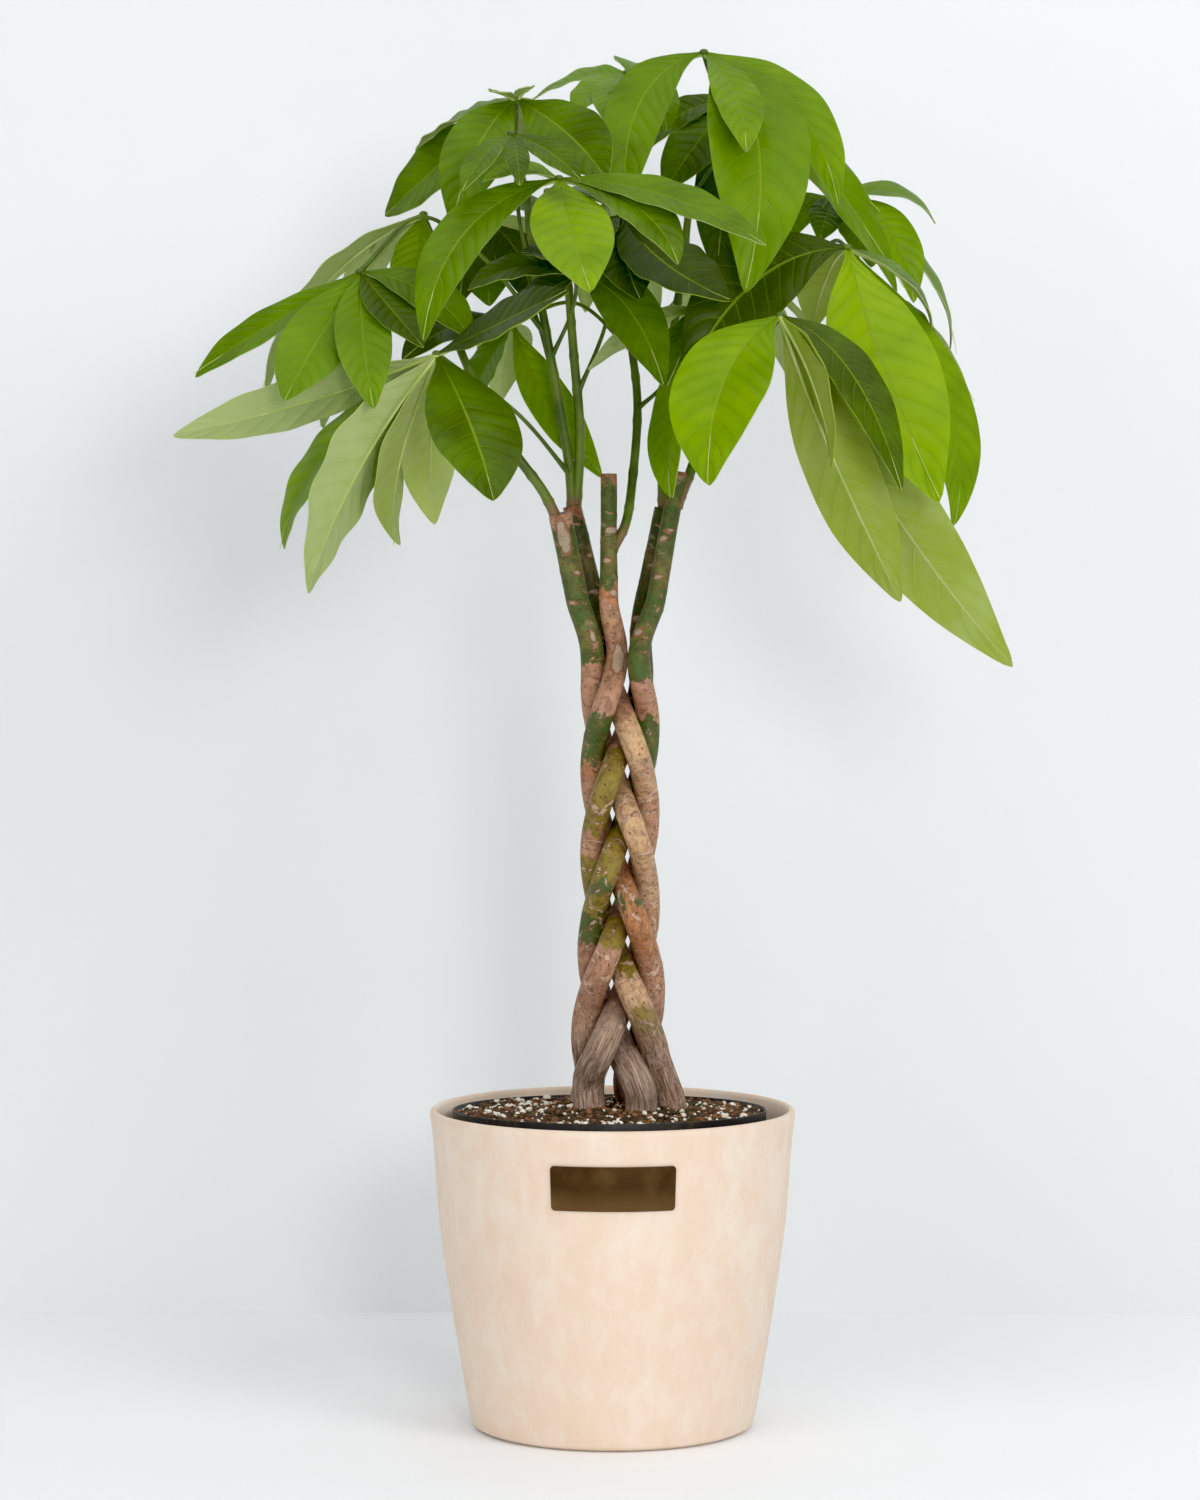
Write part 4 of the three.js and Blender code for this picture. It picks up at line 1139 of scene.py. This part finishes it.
class MONEYTREE_OT_cover_pot(bpy.types.Operator):
    """Tapered cream pot with a rounded rim, and its bronze plate"""

    bl_idname = "money_tree.cover_pot"
    bl_label = "Cover pot and plate"

    def execute(self, context):
        settings = context.scene.money_tree_pot
        self.pot(settings)
        self.plate(settings)
        return {"FINISHED"}

    def pot(self, settings):
        shape = bmesh.new()
        rim = settings.rim
        top = POT_HIGH.z
        outer = smooth_line([(radius * MM, height * MM, 0) for radius, height in COVER_PROFILE[1:]])
        outside = [outer(step / COVER_SIDE_STEPS) for step in range(COVER_SIDE_STEPS + 1)]
        inside = [(cover_radius(height) - COVER_WALL, height)
                  for height in (0.2, 0.155, 0.11, 0.06, 0.02)]
        profile = [(0, 0), (COVER_PROFILE[0][0] * MM, 0)]
        profile += [(point.x, point.y) for point in outside]
        profile += [(rim - 0.5 * MM, top - 1.4 * MM), (rim - 2 * MM, top - 0.2 * MM),
                    (rim - 3.2 * MM, top), (rim - 4.8 * MM, top - 0.6 * MM),
                    (rim - COVER_WALL, top - 3 * MM)]
        profile += inside
        profile += [(inside[-1][0] - 7 * MM, COVER_FLOOR), (0, COVER_FLOOR)]
        lathe(shape, profile, COVER_STEPS)
        finished("cover_pot", shape, [cream_stoneware(settings)], "cream_pot", "outer_pot",
                 sharp=math.radians(60))

    def plate(self, settings):
        shape = bmesh.new()
        slab = bmesh.ops.create_cube(shape, size=1.0)["verts"]
        bmesh.ops.scale(shape, vec=(PLATE_WIDTH, PLATE_THICKNESS, PLATE_HEIGHT), verts=slab)
        corners = [edge for edge in shape.edges
                   if abs(edge.verts[0].co.y - edge.verts[1].co.y) > PLATE_THICKNESS / 2]
        bmesh.ops.bevel(shape, geom=corners, offset=PLATE_CORNER, affect="EDGES", segments=6,
                        profile=0.5, material=-1)
        soften(shape, math.radians(60), 0.35 * MM)
        for step in range(-15, 16):
            everything = shape.verts[:] + shape.edges[:] + shape.faces[:]
            cut = (step * PLATE_WIDTH / 32, 0, 0)
            bmesh.ops.bisect_plane(shape, geom=everything, plane_co=cut, plane_no=(1, 0, 0))
        for vertex in shape.verts:
            height = PLATE_CENTRE_Z + vertex.co.z
            turn = vertex.co.x / settings.rim
            reach = cover_radius(height) + PLATE_GAP + PLATE_THICKNESS / 2 - vertex.co.y
            vertex.co = (reach * math.sin(turn), -reach * math.cos(turn), height)
        finished("bronze_plate", shape, [brushed_bronze(settings)], "bronze", "name_plate",
                 sharp=math.radians(30))


class MONEYTREE_OT_grow_pot(bpy.types.Operator):
    """Thin black pot with a rolled lip, leaning a little inside the cover pot"""

    bl_idname = "money_tree.grow_pot"
    bl_label = "Grow pot"

    def execute(self, context):
        shape = bmesh.new()
        shoulder = GROW_HEIGHT - 12 * MM
        wall = GROW_RIM - GROW_LIP
        lathe(shape, [
            (0, 0), (GROW_BASE, 0), (GROW_BASE + 3 * MM, 2 * MM), (wall, shoulder - 2 * MM),
            (GROW_RIM, shoulder), (GROW_RIM, GROW_HEIGHT), (GROW_RIM - GROW_WALL, GROW_HEIGHT),
            (wall - GROW_WALL, shoulder - 3 * MM), (GROW_BASE + 3 * MM - GROW_WALL, 5 * MM),
            (GROW_BASE - GROW_WALL, GROW_WALL), (0, GROW_WALL),
        ], COVER_STEPS)
        soften(shape, math.radians(40), 0.5 * MM)
        lean(shape)
        finished("black_grow_pot", shape, [black_plastic()], "black_plastic", "grow_pot")
        return {"FINISHED"}


class MONEYTREE_OT_soil(bpy.types.Operator):
    """Crumbly soil with perlite and bark crumbs"""

    bl_idname = "money_tree.soil"
    bl_label = "Soil"

    def execute(self, context):
        settings = context.scene.money_tree_soil
        shape = bmesh.new()
        radii = [SOIL_EDGE * step / SOIL_RINGS for step in range(SOIL_RINGS, -1, -1)]
        bottom = [(0, 2.1 * MM), (GROW_BASE - 2.8 * MM, 2.1 * MM), (92.6 * MM, 5.5 * MM),
                  (115 * MM, 214 * MM)]
        lathe(shape, bottom + [(radius, soil_level(radius)) for radius in radii], SOIL_STEPS)
        for vertex in shape.verts:
            radius = math.hypot(vertex.co.x, vertex.co.y)
            if vertex.co.z > 0.2 and radius < SOIL_EDGE - 0.5 * MM:
                vertex.co.z += soil_lumps(vertex.co.x, vertex.co.y)
        lean(shape)
        finished("potting_soil", shape, [potting_soil()], "soil", "soil", sharp=math.pi)
        chance = random.Random(7)
        crumbs = bmesh.new()
        add_grains(crumbs, chance, settings.chips, CRUMB_SIZES, 1, 0.6, 0.1)
        lean(crumbs)
        finished("bark_crumbs", crumbs, [bark_chip()], "soil")
        grains = bmesh.new()
        add_grains(grains, chance, settings.perlite, PERLITE_SIZES, 2, 0.8, 0.15)
        lean(grains)
        finished("perlite", grains, [perlite_grain()], "soil", sharp=math.pi)
        return {"FINISHED"}


class MONEYTREE_OT_trunks(bpy.types.Operator):
    """Five braided trunks with scarred bark and cut tops"""

    bl_idname = "money_tree.trunks"
    bl_label = "Braided trunks"

    def execute(self, context):
        bark = tree_bark()
        for number, trunk in enumerate(TRUNKS, 1):
            shape = bmesh.new()
            layers = {
                "straight": shape.verts.layers.float_vector.new("straight"),
                "tint_even": shape.verts.layers.float_color.new("tint_even"),
                "tint_odd": shape.verts.layers.float_color.new("tint_odd"),
                "zone": shape.verts.layers.float.new("zone"),
                "fibre": shape.verts.layers.float.new("fibre"),
                "scar": shape.verts.layers.float.new("scar"),
            }
            add_trunk(shape, trunk, layers)
            finished(f"trunk_{number}_bark", shape, [bark], "bark", f"trunk_{number}")
        return {"FINISHED"}


class MONEYTREE_OT_shoots(bpy.types.Operator):
    """Green shoots that grew from the cut trunks"""

    bl_idname = "money_tree.shoots"
    bl_label = "Green shoots"

    def execute(self, context):
        settings = context.scene.money_tree_leaf
        stem = green_stem("shoot_skin", settings.stem, settings.stem_light)
        for number, shoot in enumerate(SHOOTS, 1):
            shape = bmesh.new()
            shape.verts.layers.float_vector.new("straight")
            woody = shape.verts.layers.float.new("woody")
            low, high = shoot["radii"]
            line = smooth_line([Vector(point) * MM for point in shoot["path"]])

            def radius_at(share, low=low, high=high, number=number):
                node = abs(math.sin(share * 24 + number)) ** 24
                swell = 0.5 * node + 1.6 * (1 - share) ** 22
                return (low + (high - low) * share + swell) * 0.95 * MM

            add_stem(shape, line, radius_at, SHOOT_MESH, 0, tip=1)
            foot = line(0)
            for vertex in shape.verts:
                away = (vertex.co - foot).length / MM
                speck = noise.noise(vertex.co * 220)
                vertex[woody] = 0.9 * (1 - smoothstep(away, 14, 30)) + max(0, speck - 0.35)
            finished(f"shoot_{number}", shape, [stem], "bark", sharp=math.pi)
        return {"FINISHED"}


class MONEYTREE_OT_leaves(bpy.types.Operator):
    """Palmate leaves with veined, folded and wavy leaflets"""

    bl_idname = "money_tree.leaves"
    bl_label = "Palmate leaves"

    def execute(self, context):
        settings = context.scene.money_tree_leaf
        upper = leaf_face("leaf_upper", settings.deep, settings.bright, settings.young,
                          paint(150, 178, 44), 0.3, 0.26, 0.5)
        # Underside's first shade is a painted glow of light through the blade, most at low shade.
        lower = leaf_face("leaf_underside", paint(168, 190, 60), settings.under,
                          paint(190, 206, 96), paint(206, 218, 150), 0.2, 0.5, -0.5)
        stem = green_stem("petiole_skin", settings.stem, settings.stem_light)
        rib = green_stem("rib_skin", paint(164, 184, 92), paint(196, 208, 134))
        crown = {name: (leaf, leaf["leaflets"]) for name, leaf in LEAVES.items()}
        crown.update({name: (leaf, fan_leaflets(leaf)) for name, leaf in BACK_LEAVES.items()})
        for number, (name, (leaf, rows)) in enumerate(crown.items()):
            chance = random.Random(100 + number)
            shape = bmesh.new()
            shape.loops.layers.uv.new("blade")
            shape.verts.layers.float_vector.new("straight")
            layers = {"shade": shape.verts.layers.float.new("shade")}
            shape.verts.layers.float.new("woody")
            add_leaf(shape, leaf, rows, chance, settings, layers)
            finished(f"{name}_grown", shape, [upper, lower, stem, rib], "leaf", name)
        return {"FINISHED"}


class MONEYTREE_OT_stage(bpy.types.Operator):
    """Pale floor and wall, soft lights and the photograph's camera"""

    bl_idname = "money_tree.stage"
    bl_label = "Studio"

    def execute(self, context):
        settings = context.scene.money_tree_stage
        floor_paint = studio_paint("floor_paint", settings.floor, 0.6)
        floor = self.sheet("studio_floor", FLOOR_SIZE, floor_paint)
        floor.data.transform(Matrix.Translation((0, 0, -FLOOR_DROP)))
        wall = self.sheet("studio_wall", WALL_SIZE, studio_paint("wall_paint", settings.wall, 0.8))
        upright = Matrix.Rotation(math.pi / 2, 4, "X")
        behind = Matrix.Translation((0, settings.wall_distance, WALL_MIDDLE_Z))
        wall.data.transform(behind @ upright)
        for name, values in LIGHTS.items():
            self.light(name, *values)
        self.surroundings(context)
        self.camera(context, settings)
        return {"FINISHED"}

    def sheet(self, name, size, material):
        shape = bmesh.new()
        bmesh.ops.create_grid(shape, x_segments=4, y_segments=4, size=size / 2)
        data = bpy.data.meshes.new(name)
        shape.to_mesh(data)
        shape.free()
        data.materials.append(material)
        sheet = bpy.data.objects.new(name, data)
        bpy.context.scene.collection.objects.link(sheet)
        return sheet

    def light(self, name, place, target, size, power):
        lamp = bpy.data.lights.new(name, "AREA")
        lamp.shape = "DISK"
        lamp.size = size
        lamp.energy = power
        item = bpy.data.objects.new(name, lamp)
        item.location = place
        aim = Vector(target) - Vector(place)
        item.rotation_euler = aim.to_track_quat("-Z", "Y").to_euler()
        bpy.context.scene.collection.objects.link(item)

    def surroundings(self, context):
        world = bpy.data.worlds.new("studio_air")
        world.use_nodes = True
        background = world.node_tree.nodes["Background"]
        background.inputs["Color"].default_value = AIR_SHADE
        background.inputs["Strength"].default_value = AIR_STRENGTH
        context.scene.world = world
        view = context.scene.view_settings
        view.view_transform = "Standard"
        view.use_curve_mapping = True
        view.curve_mapping.black_level = (0.012, 0.012, 0.012)
        view.curve_mapping.update()

    def camera(self, context, settings):
        data = bpy.data.cameras.new("photo_camera")
        data.sensor_fit = "VERTICAL"
        data.sensor_height = 36
        data.lens = settings.lens
        data.clip_end = 40
        camera = bpy.data.objects.new("photo_camera", data)
        camera.location = settings.camera_place
        camera.rotation_euler = (math.pi / 2 - settings.camera_pitch, 0, 0)
        context.scene.collection.objects.link(camera)
        context.scene.camera = camera


class MONEYTREE_PT_panel(bpy.types.Panel):
    """Pieces of the potted money tree"""

    bl_label = "Money tree"
    bl_idname = "MONEYTREE_PT_panel"
    bl_space_type = "VIEW_3D"
    bl_region_type = "UI"
    bl_category = "Money tree"

    def draw(self, context):
        column = self.layout.column(align=True)
        for operator in OPERATORS:
            column.operator(operator.bl_idname)
        for attribute, group in SETTINGS.items():
            settings = getattr(context.scene, attribute)
            column = self.layout.column(align=True)
            for name in group.__annotations__:
                column.prop(settings, name)


SETTINGS = {
    "money_tree_pot": PotSettings,
    "money_tree_soil": SoilSettings,
    "money_tree_leaf": LeafSettings,
    "money_tree_stage": StageSettings,
}
OPERATORS = (
    MONEYTREE_OT_cover_pot,
    MONEYTREE_OT_grow_pot,
    MONEYTREE_OT_soil,
    MONEYTREE_OT_trunks,
    MONEYTREE_OT_shoots,
    MONEYTREE_OT_leaves,
    MONEYTREE_OT_stage,
)


def register():
    for item in (*SETTINGS.values(), *OPERATORS, MONEYTREE_PT_panel):
        bpy.utils.register_class(item)
    for attribute, group in SETTINGS.items():
        setattr(bpy.types.Scene, attribute, bpy.props.PointerProperty(type=group))


def unregister():
    for attribute in SETTINGS:
        delattr(bpy.types.Scene, attribute)
    for item in (MONEYTREE_PT_panel, *reversed(OPERATORS), *SETTINGS.values()):
        bpy.utils.unregister_class(item)


def main():
    register()
    bpy.ops.money_tree.cover_pot()
    bpy.ops.money_tree.grow_pot()
    bpy.ops.money_tree.soil()
    bpy.ops.money_tree.trunks()
    bpy.ops.money_tree.shoots()
    bpy.ops.money_tree.leaves()
    bpy.ops.money_tree.stage()


if __name__ == "__main__":
    main()
